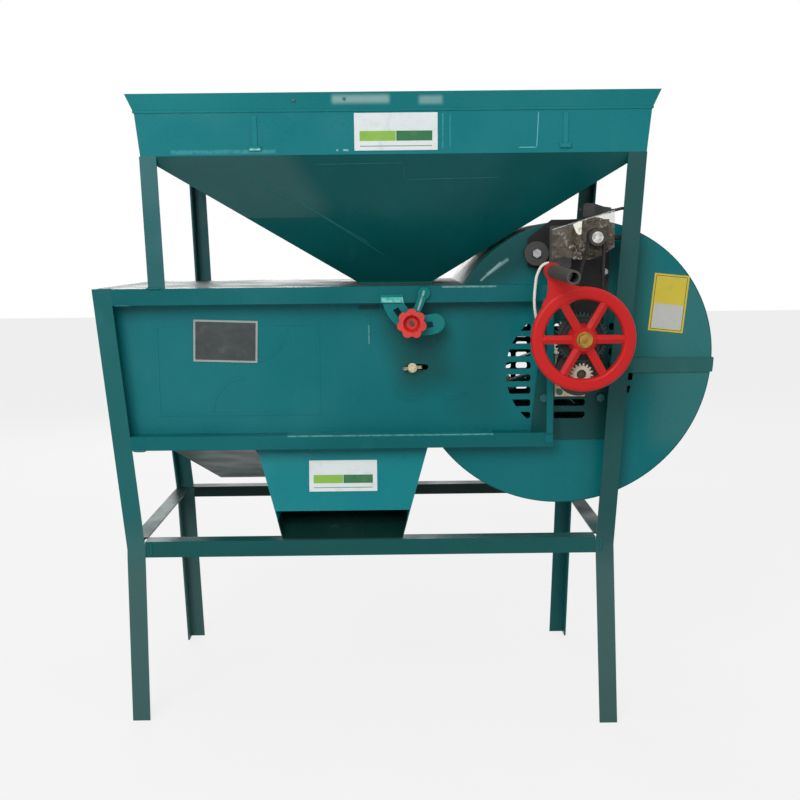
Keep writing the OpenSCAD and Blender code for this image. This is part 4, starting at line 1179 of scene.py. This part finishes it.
@dataclass(frozen=True)
class RimLip:
    """Folded lip along the bottom of the rim, and its small screws, in millimetres."""

    z: float = 1061.5
    section: tuple[Pair, ...] = ((-2.0, -0.4), (1.6, 0.0), (2.1, 1.0), (2.5, 3.4), (-2.0, 4.2))
    screws: tuple[Pair, ...] = ((-181, 1079), (-99, 1081))
    screw_sunk: float = 0.3
    screw_axis: Point = (0, -1, 0.3)
    screw_head: tuple[Pair, ...] = ((0.0, 3.0), (0.9, 2.8), (1.7, 1.8), (2.0, 0.4))
    screw_sides: int = 24

    def build(self) -> None:
        """Makes the lip round the four sides and the screws on the front."""
        low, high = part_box("hopper_band")
        shape = Shape()
        rows = []
        for out, up in self.section:
            left, right = low.x - out / 1000, high.x + out / 1000
            front, rear = low.y - out / 1000, high.y + out / 1000
            corners = ((left, front), (right, front), (right, rear), (left, rear))
            rows.append([Vector((x, y, (self.z + up) / 1000)) for x, y in corners])
        shape.grid(rows, closed=True)
        # The lip takes the rim's brighter paint, which is painted light.
        shape.piece("rim_lip", Finish.RIM, "frame", "teal_paint")
        heads = Shape()
        probe = Probe("hopper_rim")
        axis = Vector(self.screw_axis).normalized()
        radii = [radius / 1000 for _, radius in self.screw_head]
        for x, z in self.screws:
            foot = probe.at(x, z, -self.screw_sunk)
            line = [foot + axis * height / 1000 for height, _ in self.screw_head]
            heads.tube(line, radii, self.screw_sides)
        heads.piece("rim_screws", Finish.SCREW, "frame", "steel")


@dataclass(frozen=True)
class WeldBeads:
    """Rippled weld beads where the bars and sheets of the stand meet, in millimetres."""

    radius: float = 2.0
    ripple: float = 0.35
    pitch: float = 2.6
    pitch_steps: int = 4
    least_steps: int = 8
    sides: int = 8
    wander: float = 0.4
    wander_across: float = 90.0
    wander_along: float = 0.15
    ends: Pair = (4.0, 0.35)
    inset: float = 3.0
    rail_corner: Pair = (-492.0, -462.0)
    post_foot: Pair = (-437.0, -409.0)
    end_bar: Pair = (12.0, 1.0)
    floor_corner: Pair = (-471.0, -448.0)
    chute_edge: Pair = (-262.0, 34.0)
    chute_back: float = 4.0
    crossbar_ends: Pair = (-447.0, 333.0)

    def _bead(self, shape: Shape, start: Vector, end: Vector) -> None:
        """Adds one bead between two points.

        Args:
            shape: shape that takes it.
            start: first point, in metres.
            end: last point.
        """
        length = (end - start).length * 1000
        steps = max(self.least_steps, int(length / self.pitch * self.pitch_steps))
        across = self.wander_across
        line, radii = [], []
        for k in range(steps + 1):
            t = k / steps
            place = Vector((start.x * across, start.z * across, t * length * self.wander_along))
            line.append(start.lerp(end, t) + Vector((0.0, 0.0, self.wander * noise.noise(place) / 1000)))
            wave = self.ripple * abs(math.sin(math.pi * t * length / self.pitch))
            fade = min(1.0, self.ends[0] * min(t, 1 - t) + self.ends[1])
            radii.append((self.radius + wave) * fade / 1000)
        shape.tube(line, radii, self.sides)

    def build(self) -> None:
        """Makes the beads at the joints of the stand."""
        rail_low, rail_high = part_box("top_rails")
        floor_low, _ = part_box("bottom_rails")
        cross_low, cross_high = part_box("crossbars")
        inset = self.inset / 1000
        bar_x, bar_y = rail_high.x - self.end_bar[0] / 1000, rail_low.y - self.end_bar[1] / 1000
        flat = (
            (self.rail_corner, rail_low.y, rail_low.z),
            (self.post_foot, rail_low.y, rail_high.z),
            (self.floor_corner, floor_low.y, floor_low.z),
            (self.chute_edge, floor_low.y + self.chute_back / 1000, floor_low.z),
        )
        shape = Shape()
        for (left, right), y, z in flat:
            self._bead(shape, Vector((left / 1000, y, z)), Vector((right / 1000, y, z)))
        self._bead(shape, Vector((bar_x, bar_y, rail_high.z - inset)),
                   Vector((bar_x, bar_y, rail_low.z + inset)))
        for end in self.crossbar_ends:
            self._bead(shape, Vector((end / 1000, cross_low.y, cross_low.z + inset)),
                       Vector((end / 1000, cross_low.y, cross_high.z - inset)))
        shape.piece("weld_beads", Finish.RAIL, "frame", "teal_paint")


@dataclass(frozen=True)
class MotorFilm:
    """Crumpled clear film stretched over the motor's front, in millimetres."""

    left: float = 240.0
    right: float = 341.0
    top: float = 866.0
    top_slope: float = 0.3
    bottom: float = 806.0
    bottom_slope: float = 0.26
    wave: Pair = (5.0, 7.2)
    corner: Pair = (34.0, 0.35)
    columns: int = 56
    rows: int = 56
    out: float = 68.5
    cap_r: float = 29.0
    cap_rise: Pair = (5.2, 6.0)
    flat_r: float = 36.0
    fall: float = 10.0
    fall_span: float = 40.0
    fall_power: float = 1.5
    noise_scale: float = 0.045
    crease: Pair = (3.4, 2.1)
    crumple: Pair = (1.1, 5.3)
    hole_r: float = 15.5
    edge_lift: Point = (0.0, -0.5, 0.3)
    edge_r: float = 0.9
    edge_sides: int = 6
    tag_out: float = 1.2
    tag: tuple[tuple[Pair, ...], ...] = (
        ((0.32, 0.02), (0.40, 0.0), (0.47, 0.01)), ((0.345, 0.13), (0.40, 0.13), (0.46, 0.12)),
        ((0.37, 0.25), (0.41, 0.27), (0.455, 0.26)), ((0.405, 0.34), (0.425, 0.35), (0.45, 0.34)),
    )
    flat: Pair = (0.125, 0.12)

    def _outline(self, u: float, v: float) -> Pair:
        """Place on the motor's front, x and z, of a share of the film's width and height."""
        x = self.left + (self.right - self.left) * u
        high = self.top + self.top_slope * (x - self.left)
        low = self.bottom + self.bottom_slope * (x - self.left)
        low += self.wave[0] * math.sin(self.wave[1] * u) + self.corner[0] * max(0.0, self.corner[1] - u)
        return x, high + (low - high) * v

    def _place(self, u: float, v: float) -> Vector:
        """Point of the film.

        Args:
            u: share of its width.
            v: share of its height, from the top.

        Returns:
            The point in metres.
        """
        x, z = self._outline(u, v)
        away = math.hypot(x - DATUM.motor_x, z - DATUM.motor_z)
        over_cap = 1 - min(1.0, max(0.0, (away - self.cap_r) / self.cap_rise[1]))
        beyond = min(1.0, max(0.0, (away - self.flat_r) / self.fall_span))
        out = self.out + self.cap_rise[0] * over_cap - self.fall * beyond ** self.fall_power
        place = Vector((x, 0, z)) * self.noise_scale
        crease = 1 - 2 * abs(noise.noise(place * self.crease[1] + Vector((3, 1, 0))))
        fine = noise.noise(place * self.crumple[1] + Vector((0, 7, 2)))
        depth = self.crease[0] * max(0.0, crease) ** 3 + self.crumple[0] * (fine + 0.5)
        return DATUM.ahead(x, out + depth, z)

    def build(self) -> None:
        """Makes the film with a hole for the shaft, its rolled top edge and a paper tag."""
        rows = [[self._place(k / self.columns, i / self.rows) for k in range(self.columns + 1)]
                for i in range(self.rows + 1)]
        shape = Shape()
        shape.grid(rows)
        center = DATUM.ahead(DATUM.motor_x, 0, DATUM.motor_z)
        kept = []
        for face in shape.faces:
            middle = sum((shape.points[i] for i in face), Vector()) / len(face)
            if math.hypot(middle.x - center.x, middle.z - center.z) > self.hole_r / 1000:
                kept.append(face)
        shape.faces = kept
        film = shape.piece("motor_film", Finish.FILM, "frame", "black_plastic")
        edge = Shape()
        top = [point + Vector(self.edge_lift) / 1000 for point in rows[0]]
        edge.tube(top, [self.edge_r / 1000] * len(top), self.edge_sides)
        hem = edge.piece("motor_film_edge", Finish.FILM_EDGE, "frame", "white_plastic")
        tag = Shape()
        lift = Vector((0, -self.tag_out / 1000, 0))
        tag.grid([[self._place(u, v) + lift for u, v in row] for row in self.tag])
        paper = tag.piece("motor_tag", Finish.WHITE_PLASTIC, "frame", "white_plastic")


def main() -> None:
    """Builds the camera, the cords, the studio and the machine's pieces in order."""
    logging.basicConfig(level=logging.INFO, format="%(message)s")
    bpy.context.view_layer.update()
    parts = (PhotoCamera(), MainsLead(), SwitchLead(), Studio(), FrameDressing(), SheetLines(), RimLip(),
             WeldBeads(), MotorFilm())
    for part in parts:
        part.build()
        log.info("built %s", type(part).__name__)


if __name__ == "__main__":
    main()
